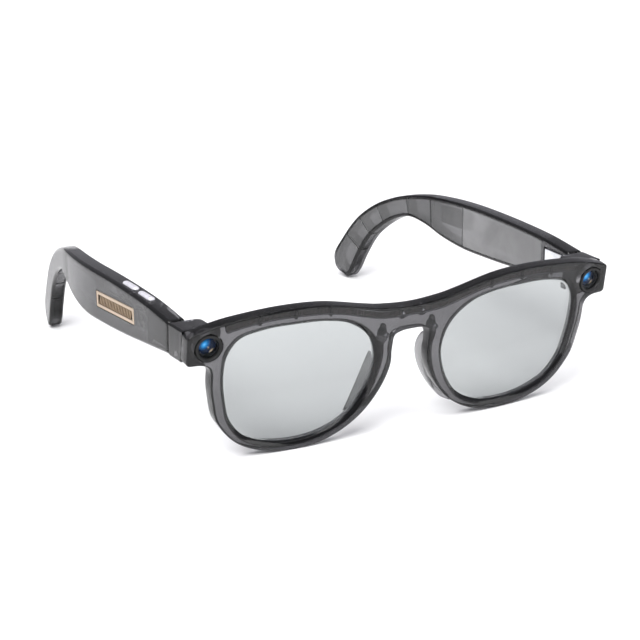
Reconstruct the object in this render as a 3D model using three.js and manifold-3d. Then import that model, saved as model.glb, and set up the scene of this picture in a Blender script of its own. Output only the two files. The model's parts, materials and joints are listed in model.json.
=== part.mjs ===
// Smart glasses: a moulded front with two lenses and a camera in each end piece, an electronics
// temple on each side that folds on a screwed hinge, and two press buttons on the right temple.
//
// Millimetres, +Z up. +X is the wearer's left, -Y is where the wearer looks, the temples run to +Y.
// Right and left are the wearer's. The glasses stand on both lower rims and both ear tips, and the
// origin is the centre of the bottom of their box.
//
// Everything is drawn first in the glasses' own frame, where the temples' top edges are level at
// z = 0 and x = 0 is the mirror plane. The front is drawn in a frame of its own, upright, and is then
// leaned by the pantoscopic tilt. Depth y = 0 is the front face at the bridge.

import * as THREE from "three";
import { mergeVertices } from "three/addons/utils/BufferGeometryUtils.js";
import Module from "manifold-3d";

const wasm = await Module();
wasm.setup();

// ---------------------------------------------------------------- driving dimensions

const clearance = 0.3; // between pieces that meet
const fineClearance = 0.15; // between small pieces that sit in each other
const facetAllowance = 0.2; // the front's flat facets stand up to this far behind its curve
const facetWidth = 12; // the front is cut into bands of this width before it is bent

// Front
const lensWidth = 50.4; // opening, front edge
const lensHeight = 40;
const bridgeWidth = 21.8; // between the two openings
const lensTop = 9.3; // height of the openings' top edge
const frontThickness = 4;
const wrap = 0.0007; // the front face lies at y = wrap * x * x
const tilt = THREE.MathUtils.degToRad(9.5); // pantoscopic tilt
const tiltHeight = -9.59; // places the leaned front against the level temples
const rimBottom = 1.9; // width of the rim's flat face
const rimSide = 3.3;
const rimNose = 4.6;
const bevelWidth = 1; // slope from the rim's face in to the lens
const bevelDepth = 1.3;
const bridgeHeight = 7.5;
const endPieceWidth = 11.1; // from the opening's outer edge to the front's outer edge
const endPieceBottom = -0.3;
const cornerRadius = 1.2;

// Lenses
const lensThickness = 2;
const lensLip = 0.6; // how far the lens reaches into its groove
const lensFront = 1.45; // depth of the lens's front face

// Brow channel, with the flex cable that joins the two sides and its rear cover
const channelWidth = 2.3;
const channelFloor = 1.9;
const flexWidth = 1.5;
const flexThickness = 0.25;
const coverThickness = 1;
const bridgeScrewBoss = 1.9;
const bridgeScrewRadius = 0.4;
const screwClearance = 0.25; // round the screws' shafts

// Nose pads
const padDepth = 6.6; // reach behind the front
const padThickness = 2.4;
const padTabWidth = 3.6;
const padTabDepth = 1.5;
const padScrewRadius = 0.7;

// Cameras
const bezelRadius = 4.1;
const cameraInset = 6.4; // from the front's outer edge to the camera's axis
const cameraHeight = 5.07;
const windowRadius = 3.05;
const barrelRadius = 2.3;
const sensorSize = 4.4;

// Housings behind the end pieces
const housingWidth = 10.2;
const housingTop = 0.9;
const housingBottom = -8.9;
const housingWall = 0.8;
const housingCorner = 3.2;
const splitDepth = 15; // rear face of the housings

// Hinges
const hingeInset = 6.4; // from the front's outer edge to the hinge axis
const hingeSetback = 0.6; // hinge axis behind the housings' rear face
const knuckleRadius = 1.5;
const hingeTop = -0.6;
const knuckleHeight = 2.2;
const hingeScrewRadius = 0.6;
const hingeLeafThickness = 1.2;
const rearLeafLength = 12;

// Temples
const templeWidth = 5.7;
const tipWidth = 4.8;
const templeChamfer = 1;
const templeWall = 1.1;
const insideCoverThickness = 1;
const flatLength = 66; // the outer face is flat from the split to here
const bendEnd = 100; // from there it bends inward to here, and is straight again behind
const inwardLean = 0.24; // mm inward for each mm back, behind the bend
const pocketFront = 29.3;
const earJoint = 92; // where the ear tip begins
const tongueLength = 3.4;
const tipRibThickness = 0.8; // ribs between the ear tip's pockets
const tipSocket = 3; // solid length of the ear tip behind its joint

// Temple's top and bottom edges, side view: [top y, top z, bottom y, bottom z] at each rib of the loft
const templeRibs = [
  [15.3, 1.05, 15.3, -8.8],
  [30, 2.55, 30, -10.2],
  [45, 3.1, 45, -11.6],
  [60, 3.15, 60, -12.5],
  [75, 2.8, 75, -12.75],
  [86, 2.25, 86, -11.25],
  [96.1, 1.34, 94.9, -8.59],
  [104.1, -0.22, 102.4, -7.48],
  [111.6, -2.72, 108.6, -9.31],
  [119.5, -6.6, 115.1, -13.13],
  [128.1, -13.13, 122, -19.2],
  [135.3, -21.97, 127.4, -27.39],
  [139.6, -29.25, 130.6, -33.37],
  [138.3, -35.17, 133.5, -36.93],
];

const screwPlace = [64.5, -5]; // y, z of the inner cover's screw
const coverScrewRadius = 0.4;

// Grille on the right temple's outer face
const grilleLength = 26.6;
const grilleHeight = 5;
const grilleBorder = 1.1;
const grilleCentre = [51.3, -4.65]; // y, z
const grilleLean = THREE.MathUtils.degToRad(-3.3);
const grilleThickness = 0.6;

// Buttons on the right temple's top edge
const buttonLength = 8.6;
const buttonWidth = 2.3;
const buttonProud = 0.5;
const buttonTravel = 0.35;
const buttonInset = 3.1; // from the temple's outer face to the buttons' middle
const buttonStart = 35.5; // depth of the front button's middle
const buttonGap = 2; // between the two buttons
const switchMargin = 0.3; // the switch board reaches this far past the rear button
const flangeBorder = 0.3;
const flangeThickness = 0.6;

// ---------------------------------------------------------------- places that follow from them

const lensInner = bridgeWidth / 2;
const lensOuter = lensInner + lensWidth;
const lensBottom = lensTop - lensHeight;
const edgeX = lensOuter + endPieceWidth; // outer face of the end pieces and temples
const cameraX = edgeX - cameraInset;
const padHoleRadius = padScrewRadius + screwClearance;
const bridgeHoleRadius = bridgeScrewRadius + screwClearance;
const hingeX = edgeX - hingeInset;
const hingeY = splitDepth + hingeSetback;
const buttonPlaces = { front: buttonStart, rear: buttonStart + buttonLength + buttonGap };

// ---------------------------------------------------------------- materials

const finish = (color, roughness, metalness = 0) =>
  new THREE.MeshStandardMaterial({ color, roughness, metalness });

const smoke = finish(0x6a6c70, 0.22);
const smokeDark = finish(0x46484c, 0.25);
const lensTint = finish(0xc4cfcd, 0.05);
const padGrey = finish(0x8a8c90, 0.4);
const blackMetal = finish(0x15161a, 0.35, 0.6);
const coatedGlass = finish(0x1c4f86, 0.05);
const steel = finish(0xd4d6d8, 0.25, 1);
const silver = finish(0xe8e6ee, 0.3, 0.7);
const gold = finish(0xc39a66, 0.35, 0.9);
const bronze = finish(0x5e4a36, 0.5, 0.7);
const boardGreen = finish(0x20302c, 0.6);
const copperFlex = finish(0x54402a, 0.5);
const cellGrey = finish(0x55585c, 0.5);
const speakerBlack = finish(0x2c2d30, 0.6);

// ---------------------------------------------------------------- geometry helpers

// Vertices and triangles of a closed geometry, each vertex once and no empty triangles, such as those
// at a lathe's poles.
function meshData(geometry) {
  if (geometry.userData.closed) return [geometry.attributes.position.array, geometry.index.array];
  const bare = geometry.index ? geometry.toNonIndexed() : geometry.clone();
  bare.deleteAttribute("normal");
  bare.deleteAttribute("uv");
  const merged = mergeVertices(bare, 1e-4);
  const corners = merged.index.array;
  const kept = [];
  for (let i = 0; i < corners.length; i += 3) {
    const [a, b, c] = corners.slice(i, i + 3);
    if (a !== b && b !== c && c !== a) kept.push(a, b, c);
  }
  return [merged.attributes.position.array, kept];
}

// A closed geometry as a manifold solid with its faces pointing out.
function solid(geometry) {
  const [vertProperties, corners] = meshData(geometry);
  const build = (triVerts) =>
    new wasm.Manifold(new wasm.Mesh({ numProp: 3, vertProperties, triVerts }));
  const made = build(new Uint32Array(corners));
  if (made.volume() >= 0) return made;
  const turnedOut = new Uint32Array(corners);
  for (let i = 0; i < turnedOut.length; i += 3)
    [turnedOut[i + 1], turnedOut[i + 2]] = [turnedOut[i + 2], turnedOut[i + 1]];
  return build(turnedOut);
}

function geometryOf(manifold) {
  const mesh = manifold.getMesh();
  const geometry = new THREE.BufferGeometry();
  geometry.setAttribute("position", new THREE.BufferAttribute(new Float32Array(mesh.vertProperties), 3));
  geometry.setIndex(new THREE.BufferAttribute(new Uint32Array(mesh.triVerts), 1));
  geometry.computeVertexNormals();
  geometry.userData.closed = true;
  return geometry;
}

const joined = (first, ...others) => others.reduce((sum, next) => sum.add(solid(next)), solid(first));
const fuse = (...pieces) => geometryOf(joined(...pieces));
const cut = (base, ...tools) => geometryOf(solid(base).subtract(joined(...tools)));

// The same piece on the other side of the mirror plane.
function mirrored(geometry) {
  const flipped = geometry.clone().scale(-1, 1, 1);
  return geometryOf(solid(flipped));
}

const box = (x0, x1, y0, y1, z0, z1) =>
  new THREE.BoxGeometry(x1 - x0, y1 - y0, z1 - z0).translate((x0 + x1) / 2, (y0 + y1) / 2, (z0 + z1) / 2);

// A cylinder along y, or along z when upright.
const rod = (radius, from, to, sides = 20) =>
  new THREE.CylinderGeometry(radius, radius, to - from, sides).translate(0, (from + to) / 2, 0);
const post = (radius, from, to, sides = 20) => rod(radius, from, to, sides).rotateX(Math.PI / 2);

const turned = (profile, sides = 28) =>
  new THREE.LatheGeometry(profile.map(([r, y]) => new THREE.Vector2(r, y)), sides);

const flat = (points) => points.map(([x, z]) => new THREE.Vector2(x, z));
const flip = (points) => points.map((p) => new THREE.Vector2(-p.x, p.y));

// A counter-clockwise outline with its holes, as ExtrudeGeometry needs it.
function shapeOf(outline, holes = []) {
  const shape = new THREE.Shape(THREE.ShapeUtils.isClockWise(outline) ? outline.toReversed() : outline);
  shape.holes = holes.map((hole) => new THREE.Path(hole));
  return shape;
}

// A plate whose outline lies in x and z, from depth y0 back to depth y1.
function plate(outline, y0, y1, holes = []) {
  return new THREE.ExtrudeGeometry(shapeOf(outline, holes), { depth: y1 - y0, bevelEnabled: false })
    .rotateX(Math.PI / 2)
    .translate(0, y1, 0);
}

// Bends a flat piece of the front back to the face's wrap.
function wrapped(geometry) {
  const at = geometry.attributes.position;
  for (let i = 0; i < at.count; i++) at.setY(i, at.getY(i) + wrap * at.getX(i) ** 2);
  return geometry;
}

// Bends a wide plate in bands, so that no facet bridges much of the curve.
function wrappedInBands(geometry) {
  const whole = solid(geometry);
  const bands = [];
  for (let x = 0; x < edgeX; x += facetWidth)
    for (const [x0, x1] of [[x, x + facetWidth], [-x - facetWidth, -x]])
      bands.push(wrapped(geometryOf(whole.intersect(solid(box(x0, x1, -50, 50, -90, 90))))));
  return fuse(...bands);
}

// A closed loop moved outward by a distance, which may depend on the outward direction.
function grown(loop, distance) {
  return loop.map((p, i) => {
    const before = loop[(i + loop.length - 1) % loop.length];
    const after = loop[(i + 1) % loop.length];
    const along = after.clone().sub(before).normalize();
    const out = new THREE.Vector2(along.y, -along.x);
    const by = typeof distance === "function" ? distance(out) : distance;
    return p.clone().addScaledVector(out, by);
  });
}

function arc(x, z, radius, from, to, steps) {
  const points = [];
  for (let i = 0; i <= steps; i++) {
    const angle = THREE.MathUtils.degToRad(from + ((to - from) * i) / steps);
    points.push(new THREE.Vector2(x + radius * Math.cos(angle), z + radius * Math.sin(angle)));
  }
  return points;
}

// A strip of even width along an open line.
function strip(line, halfWidth) {
  const sides = [[], []];
  line.forEach((p, i) => {
    const along = line[Math.min(i + 1, line.length - 1)].clone().sub(line[Math.max(i - 1, 0)]).normalize();
    const across = new THREE.Vector2(-along.y, along.x).multiplyScalar(halfWidth);
    sides[0].push(p.clone().add(across));
    sides[1].unshift(p.clone().sub(across));
  });
  return sides.flat();
}

// A rectangle with round ends, its length along x, as an outline.
function capsule(length, width, steps = 6) {
  const r = width / 2;
  const reach = length / 2 - r;
  return [...arc(reach, 0, r, -90, 90, steps), ...arc(-reach, 0, r, 90, 270, steps)];
}

// ---------------------------------------------------------------- front

// Lens opening, left lens, counter-clockwise, as shares of half its width and height.
const lensShape = [
  [1, 0.22], [0.97, 0.6], [0.82, 0.87], [0.5, 0.98], [0.1, 1], [-0.3, 0.975], [-0.62, 0.87],
  [-0.89, 0.6], [-1, 0.2], [-0.93, -0.26], [-0.7, -0.7], [-0.35, -0.94], [0.04, -1], [0.4, -0.94],
  [0.7, -0.77], [0.89, -0.47], [0.965, -0.12],
];

function lensLoop(count = 40) {
  const middle = [(lensInner + lensOuter) / 2, (lensTop + lensBottom) / 2];
  const points = lensShape.map(
    ([u, v]) => new THREE.Vector3(middle[0] + (u * lensWidth) / 2, middle[1] + (v * lensHeight) / 2, 0),
  );
  const curve = new THREE.CatmullRomCurve3(points, true);
  return curve.getSpacedPoints(count).slice(0, count).map((p) => new THREE.Vector2(p.x, p.y));
}

const openingLoop = lensLoop();
const throughLoop = grown(openingLoop, -bevelWidth);
const lensEdgeLoop = grown(throughLoop, lensLip);

// The rim is widest on the nose side and narrowest below.
function rimWidth(out) {
  const side = out.x > 0 ? rimSide : rimNose;
  return rimBottom + (side - rimBottom) * out.x ** 6;
}

// Upper edge of the front from the middle outward: [share of the lens's width, height over its top].
const browShape = [[0.1, 1.15], [0.38, 4], [0.657, 4.45], [0.935, 3.2]];

function browLine() {
  const middle = new THREE.Vector2(0, lensTop - 0.6);
  const shoulder = new THREE.Vector2(lensInner - 1, lensTop + 0.1);
  const over = browShape.map(([u, up]) => new THREE.Vector2(lensInner + u * lensWidth, lensTop + up));
  const camera = new THREE.Vector2(cameraX, lensTop + 1.6);
  const end = new THREE.Vector2(edgeX - cornerRadius, lensTop - 0.05);
  const points = [...flip([shoulder]), middle, shoulder, ...over, camera, end];
  const curve = new THREE.SplineCurve(points);
  const from = 1 / (points.length - 1);
  const steps = 26;
  return Array.from({ length: steps + 1 }, (_, i) => curve.getPoint(from + ((1 - from) * i) / steps));
}

// Half of the front's outline, from the middle of its top round to the middle of the bridge's arch.
function halfOutline() {
  const rim = grown(openingLoop, rimWidth);
  const sideStart = endPieceBottom - 3.4;
  const noseEnd = -5.2;
  const lower = rim.filter((p) => (p.x > (lensInner + lensOuter) / 2 ? p.y < sideStart : p.y < noseEnd));
  lower.sort((a, b) => angleBelow(a) - angleBelow(b));
  const flankX = lensInner - rimNose;
  const archTop = lensTop - 0.6 - bridgeHeight;
  const topCorner = arc(edgeX - cornerRadius, lensTop - 0.05 - cornerRadius, cornerRadius, 70, 0, 3);
  const lowCorner = arc(edgeX - cornerRadius, endPieceBottom + cornerRadius, cornerRadius, 0, -90, 4);
  const fillet = new THREE.QuadraticBezierCurve(
    new THREE.Vector2(edgeX - 3.2, endPieceBottom),
    new THREE.Vector2(lower[0].x + 0.5, endPieceBottom - 0.1),
    new THREE.Vector2(lower[0].x + 0.15, endPieceBottom - 2.9),
  ).getPoints(4);
  const arch = flat([
    [flankX, archTop - 2.5],
    [flankX - 0.5, archTop - 1.1],
    [flankX - 1.5, archTop - 0.6],
    [flankX / 2, archTop - 0.15],
    [0, archTop],
  ]);
  return [...browLine(), ...topCorner, ...lowCorner, ...fillet, ...lower, ...arch];
}

// Angle of a rim point about the lens's middle, growing from the outer side round below to the nose.
function angleBelow(p) {
  const angle = Math.atan2(p.y - (lensTop + lensBottom) / 2, p.x - (lensInner + lensOuter) / 2);
  return angle > Math.PI / 2 ? 2 * Math.PI - angle : -angle;
}

// Middle line of the brow channel, from the right end to the left end.
function channelLine() {
  const half = flat([
    [lensInner - 1.8, lensTop - 2.7],
    [lensInner + 0.1 * lensWidth, lensTop - 1.2],
    [lensInner + 0.24 * lensWidth, lensTop + 0.75],
    [lensInner + 0.4 * lensWidth, lensTop + 1.95],
    [lensInner + 0.657 * lensWidth, lensTop + 2.3],
    [lensInner + 0.86 * lensWidth, lensTop + 1.3],
    [lensOuter - 1.2, lensTop + 0.1],
  ]);
  const middle = new THREE.Vector2(0, lensTop - 2.9);
  return new THREE.SplineCurve([...flip(half).reverse(), middle, ...half]).getPoints(30);
}

const bridgeScrews = { right: [-3.4, lensTop - 2.8], left: [3.4, lensTop - 2.8] };

// The channel, or its cover, with a round boss at each bridge screw.
function channelPlate(halfWidth, bossRadius, y0, y1) {
  const bosses = Object.values(bridgeScrews).map(([x, z]) =>
    rod(bossRadius, y0, y1, 18).translate(x, 0, z),
  );
  return wrapped(fuse(plate(strip(channelLine(), halfWidth), y0, y1), ...bosses));
}

// Carries a piece drawn about the camera's axis to the left end piece, square to the wrapped face.
const faceLean = Math.atan(2 * wrap * cameraX);
const atCamera = (geometry) =>
  geometry.rotateZ(faceLean).translate(cameraX, wrap * cameraX ** 2, cameraHeight);

const padScrew = [lensInner - 2.45, 0];

function frontFrame() {
  const half = halfOutline();
  const outline = [...half, ...flip(half.slice(1, -1)).reverse()];
  const through = [throughLoop, flip(throughLoop)];
  const bevel = wrapped(ringPlate(openingLoop, -1, bevelDepth));
  const groove = wrapped(
    ringPlate(grown(lensEdgeLoop, clearance), lensFront - clearance, lensFront + lensThickness + clearance),
  );
  const cameraBore = atCamera(rod(bezelRadius + clearance, -3, frontThickness + 3, 32));
  const padHole = rod(padHoleRadius, 1.2, frontThickness + 1, 14).translate(padScrew[0], 0, padScrew[1]);
  const screwHoles = Object.values(bridgeScrews).map(([x, z]) =>
    rod(bridgeHoleRadius, 1, channelFloor + 0.5, 12).translate(x, 0, z),
  );
  const channel = channelPlate(channelWidth / 2, bridgeScrewBoss, channelFloor, frontThickness + 1);
  const body = wrappedInBands(plate(outline, 0, frontThickness, through));
  return cut(
    body,
    bevel, mirrored(bevel),
    groove, mirrored(groove),
    cameraBore, mirrored(cameraBore),
    padHole, mirrored(padHole),
    channel, ...screwHoles,
  );
}

// A plate over a loop, meshed in rings about its middle so that it can take the face's wrap.
function ringPlate(loop, y0, y1, rings = 2) {
  const middle = loop.reduce((sum, p) => sum.add(p), new THREE.Vector2()).divideScalar(loop.length);
  const positions = [];
  for (const y of [y0, y1]) {
    positions.push(middle.x, y, middle.y);
    for (let ring = 1; ring <= rings; ring++)
      for (const p of loop) {
        const q = middle.clone().lerp(p, ring / rings);
        positions.push(q.x, y, q.y);
      }
  }
  const count = loop.length;
  const layer = 1 + rings * count;
  const at = (side, ring, i) => side * layer + (ring === 0 ? 0 : 1 + (ring - 1) * count + (i % count));
  const faces = [];
  for (let i = 0; i < count; i++) {
    for (let ring = 0; ring < rings; ring++)
      for (const side of [0, 1]) {
        const [a, b] = [at(side, ring, i), at(side, ring, i + 1)];
        const [c, d] = [at(side, ring + 1, i), at(side, ring + 1, i + 1)];
        const pair = side ? [[c, d, a], [d, b, a]] : [[c, a, d], [d, a, b]];
        faces.push(...(ring === 0 ? pair[0] : pair.flat()));
      }
    const [a, b] = [at(0, rings, i), at(0, rings, i + 1)];
    const [c, d] = [at(1, rings, i), at(1, rings, i + 1)];
    faces.push(a, b, c, b, d, c);
  }
  const geometry = new THREE.BufferGeometry();
  geometry.setAttribute("position", new THREE.Float32BufferAttribute(positions, 3));
  geometry.setIndex(faces);
  return geometry;
}

const lens = () => wrapped(ringPlate(lensEdgeLoop, lensFront, lensFront + lensThickness));

const browFlex = () => {
  const y0 = channelFloor + clearance;
  return wrapped(plate(strip(channelLine(), flexWidth / 2), y0, y0 + flexThickness));
};

// Cover plate that closes the channel flush with the front's rear face.
function browCover() {
  const halfWidth = channelWidth / 2 - fineClearance;
  const y0 = frontThickness - coverThickness;
  const cover = channelPlate(halfWidth, bridgeScrewBoss - fineClearance, y0, frontThickness);
  const holes = Object.values(bridgeScrews).map(([x, z]) =>
    rod(bridgeHoleRadius, y0 - 1, frontThickness + 1, 12).translate(x, 0, z),
  );
  return cut(cover, ...holes);
}

// Screw along y, its head towards the rear.
function screw(shaftRadius, headRadius, tip, seat, headHeight) {
  return fuse(rod(shaftRadius, tip, seat + 0.05, 12), rod(headRadius, seat, seat + headHeight, 18));
}

function bridgeScrew([x, z]) {
  const seat = frontThickness + facetAllowance;
  return screw(bridgeScrewRadius, 1.1, channelFloor + 0.9, seat, 0.45).translate(x, 0, z);
}

// ---------------------------------------------------------------- nose pads

// A fin behind the nose side of the rim: a thin tab at the top takes the screw.
function nosePad() {
  const line = padLine();
  const sections = line.map(({ middle, across, depth, width }) => {
    const y0 = frontThickness + clearance + wrap * middle.x ** 2;
    const rear = y0 + depth;
    const round = Math.min(0.7, depth / 3);
    const at = (side, y) => [middle.x + across.x * side, y, middle.y + across.y * side];
    const half = width / 2;
    return [
      at(-half, y0), at(half, y0), at(half, rear - round),
      at(half - round, rear), at(round - half, rear), at(-half, rear - round),
    ];
  });
  const hole = rod(padHoleRadius, 0, frontThickness + 9, 14).translate(padScrew[0], 0, padScrew[1]);
  return cut(loft(sections), hole);
}

// Stations down the rim: the tab at the bridge, then the fin along the opening's nose side.
function padLine() {
  const noseSide = grown(openingLoop, rimNose / 2)
    .filter((p) => p.x < lensInner + 0.17 * lensWidth && p.y < -3.5)
    .sort((a, b) => b.y - a.y);
  const tab = [2.4, -1.7].map((z) => ({
    middle: new THREE.Vector2(padScrew[0], padScrew[1] + z),
    depth: padTabDepth,
    width: padTabWidth,
  }));
  const fin = noseSide.map((middle, i) => {
    const share = (i + 0.6) / noseSide.length;
    const depth = padTabDepth + (padDepth - padTabDepth) * Math.sin(Math.PI * share ** 0.8) ** 0.8;
    return { middle, depth, width: padThickness };
  });
  const line = [...tab, ...fin];
  line.forEach((station, i) => {
    const along = line[Math.min(i + 1, line.length - 1)].middle
      .clone()
      .sub(line[Math.max(i - 1, 0)].middle)
      .normalize();
    station.across = new THREE.Vector2(-along.y, along.x);
  });
  return line;
}

const padScrewPiece = () =>
  screw(padScrewRadius, 1.3, 1.6, frontThickness + clearance + padTabDepth + fineClearance, 0.5)
    .translate(padScrew[0], 0, padScrew[1]);

// Solid through a row of sections with the same number of corners.
function loft(sections) {
  const corners = sections[0].length;
  const faces = [];
  for (let s = 0; s + 1 < sections.length; s++)
    for (let i = 0; i < corners; i++) {
      const j = (i + 1) % corners;
      const [a, b] = [s * corners + i, s * corners + j];
      faces.push(a, b, a + corners, b, b + corners, a + corners);
    }
  const last = (sections.length - 1) * corners;
  for (let i = 1; i + 1 < corners; i++) {
    faces.push(0, i + 1, i);
    faces.push(last, last + i, last + i + 1);
  }
  const geometry = new THREE.BufferGeometry();
  geometry.setAttribute("position", new THREE.Float32BufferAttribute(sections.flat(2), 3));
  geometry.setIndex(faces);
  return geometryOf(solid(geometry));
}

// ---------------------------------------------------------------- cameras, about their own axis

const bezel = () =>
  turned([
    [bezelRadius, 2.2], [bezelRadius, -0.1], [bezelRadius - 0.25, -0.35], [bezelRadius - 0.6, -0.35],
    [windowRadius + fineClearance, 0.1], [windowRadius + fineClearance, 1],
    [barrelRadius + 0.25, 1], [barrelRadius + 0.25, 2.2], [bezelRadius, 2.2],
  ]);

const cameraWindow = () =>
  turned([[0, 0.2], [windowRadius - 0.2, 0.2], [windowRadius, 0.35], [windowRadius, 0.85], [0, 0.85]]);

const barrel = () =>
  turned([
    [barrelRadius, 6], [barrelRadius, 1.15], [barrelRadius - 0.35, 1.15], [1.45, 2.1],
    [1.45, 3.9], [1.1, 3.9], [1.1, 6], [barrelRadius, 6],
  ], 24);

const cameraLens = () =>
  turned([[0, 2], [0.6, 2.12], [1.05, 2.5], [1.3, 3], [1.3, 3.7], [0, 3.7]], 20);

const sensorBoard = () => box(-sensorSize / 2, sensorSize / 2, 6.2, 6.8, -sensorSize / 2, sensorSize / 2);

// ---------------------------------------------------------------- housings and hinges

// Plan of a housing, grown inward by the wall for its hollow.
function housingPlan(wall) {
  const [inner, outer] = [edgeX - housingWidth + wall, edgeX - wall];
  const rear = splitDepth - wall;
  const r = housingCorner - wall;
  const corner = arc(inner + r, rear - r, r, 180, 90, 5);
  return [...flat([[outer, -4], [outer, rear]]), ...corner.reverse(), new THREE.Vector2(inner, -4)];
}

function prism(plan, z0, z1) {
  return new THREE.ExtrudeGeometry(shapeOf(plan), { depth: z1 - z0, bevelEnabled: false })
    .translate(0, 0, z0);
}

// The front's own slab, in the glasses' frame, thickened by the clearance.
function frontSlab() {
  const slab = new THREE.BoxGeometry(40, 30, 60, 12, 1, 1)
    .translate(edgeX, frontThickness + clearance + facetAllowance - 15, 0);
  return leaned(wrapped(slab));
}

const leaned = (geometry) => geometry.rotateX(tilt).translate(0, 0, tiltHeight);

function endHousing() {
  const shell = prism(housingPlan(0), housingBottom, housingTop);
  const hollow = prism(housingPlan(housingWall), housingBottom + housingWall, housingTop - housingWall);
  const hingeBottom = hingeTop - 3 * knuckleHeight - 2 * clearance;
  const swing = post(knuckleRadius + clearance, hingeBottom - clearance, housingTop - housingWall, 24)
    .translate(hingeX, hingeY, 0);
  const [z0, z1] = knuckleSpan(1);
  const half = hingeLeafThickness / 2 + clearance;
  const slotFront = splitDepth - housingWall - 1;
  const slot = box(hingeX - half, hingeX + half, slotFront, hingeY, z0 - clearance, z1 + clearance);
  return cut(shell, hollow, frontSlab(), swing, slot);
}

// Bottom and top of a knuckle: 0 is the lowest.
function knuckleSpan(index) {
  const bottom = hingeTop - (3 - index) * knuckleHeight - (2 - index) * clearance;
  return [bottom, bottom + knuckleHeight];
}

const knuckle = (index) => post(knuckleRadius, ...knuckleSpan(index), 24).translate(hingeX, hingeY, 0);

const hingeBore = () => post(hingeScrewRadius + fineClearance, -20, 20, 16).translate(hingeX, hingeY, 0);

// Leaf inside the housing: a flange behind the rear wall, and a neck out to the middle knuckle.
function hingeFrontLeaf() {
  const [z0, z1] = knuckleSpan(1);
  const half = hingeLeafThickness / 2;
  const rear = splitDepth - housingWall - clearance;
  const flange = box(hingeX - 1.6, hingeX + 1.6, rear - 1.1, rear, z0 - 1.2, z1 + 1.2);
  const neck = box(hingeX - half, hingeX + half, rear - 0.5, hingeY, z0, z1);
  return cut(fuse(flange, neck, knuckle(1)), hingeBore());
}

// Leaf in the temple: a plate along its inner face, with the outer two knuckles.
function hingeRearLeaf() {
  const inner = edgeX - templeWidth + 0.1;
  const front = hingeY + 0.3;
  const spans = [knuckleSpan(0), knuckleSpan(2)];
  const rear = front + rearLeafLength;
  const leaf = box(inner, inner + hingeLeafThickness, front, rear, spans[0][0], spans[1][1]);
  const [z0, z1] = knuckleSpan(1);
  const gap = post(knuckleRadius + clearance, z0 - clearance, z1 + clearance, 24)
    .translate(hingeX, hingeY, 0);
  return cut(fuse(leaf, knuckle(0), knuckle(2)), gap, hingeBore());
}

function hingeScrew() {
  const bottom = knuckleSpan(0)[0];
  const shaft = post(hingeScrewRadius, bottom, hingeTop + 0.2, 14);
  const head = post(1.15, hingeTop + fineClearance, hingeTop + 0.5, 18);
  return fuse(shaft, head).translate(hingeX, hingeY, 0);
}

// ---------------------------------------------------------------- temples, drawn for the left side

const ribPoints = (column) =>
  new THREE.CatmullRomCurve3(
    templeRibs.map((rib) => new THREE.Vector3(0, rib[column], rib[column + 1])),
    false,
    "centripetal",
  );
const topEdge = ribPoints(0);
const bottomEdge = ribPoints(2);
const loftSteps = 2 * (templeRibs.length - 1);

// Place along the temple, 0 to 1, where its top edge reaches a depth.
function placeAt(y) {
  let [low, high] = [0, 1];
  for (let i = 0; i < 30; i++) {
    const middle = (low + high) / 2;
    if (topEdge.getPoint(middle).y < y) low = middle;
    else high = middle;
  }
  return low;
}

function outerX(y) {
  const bent = Math.max(Math.min(y, bendEnd) - flatLength, 0);
  const lean = bent ** 2 / (2 * (bendEnd - flatLength)) + Math.max(y - bendEnd, 0);
  return edgeX - inwardLean * lean;
}
const tipStart = placeAt(flatLength);
const widthAt = (place) =>
  templeWidth + (tipWidth - templeWidth) * Math.max(place - tipStart, 0) / (1 - tipStart);
const topHeight = (y) => topEdge.getPoint(placeAt(y)).z;

// A length of the temple between two places, between two depths from its outer face, inset from its
// top and bottom edges, with chamfered corners. Depths are numbers, or functions of the place.
function templeSlab(from, to, { outer = 0, inner = widthAt, top = 0, bottom = 0, chamfer = 0 } = {}) {
  const inside = Array.from({ length: loftSteps + 1 }, (_, i) => i / loftSteps);
  const margin = 0.25 / loftSteps;
  const places = [from, ...inside.filter((p) => p > from + margin && p < to - margin), to];
  const depthOf = (depth, place) => (typeof depth === "function" ? depth(place) : depth);
  const sections = places.map((place) => {
    const low = bottomEdge.getPoint(place);
    const high = topEdge.getPoint(place);
    const span = high.distanceTo(low);
    const [d0, d1] = [depthOf(outer, place), depthOf(inner, place)];
    const [v0, v1] = [bottom, span - top];
    const c = chamfer;
    const corners = c
      ? [[d0, v0 + c], [d0, v1 - c], [d0 + c, v1], [d1 - c, v1], [d1, v1 - c], [d1, v0 + c],
        [d1 - c, v0], [d0 + c, v0]]
      : [[d0, v0], [d0, v1], [d1, v1], [d1, v0]];
    return corners.map(([depth, v]) => {
      const p = low.clone().lerp(high, v / span);
      return [outerX(p.y) - depth, p.y, p.z];
    });
  });
  return loft(sections);
}

const pocketStart = placeAt(pocketFront);
const earPlace = placeAt(earJoint);
const insideOf = (gap) => (place) => widthAt(place) - gap;

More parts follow.
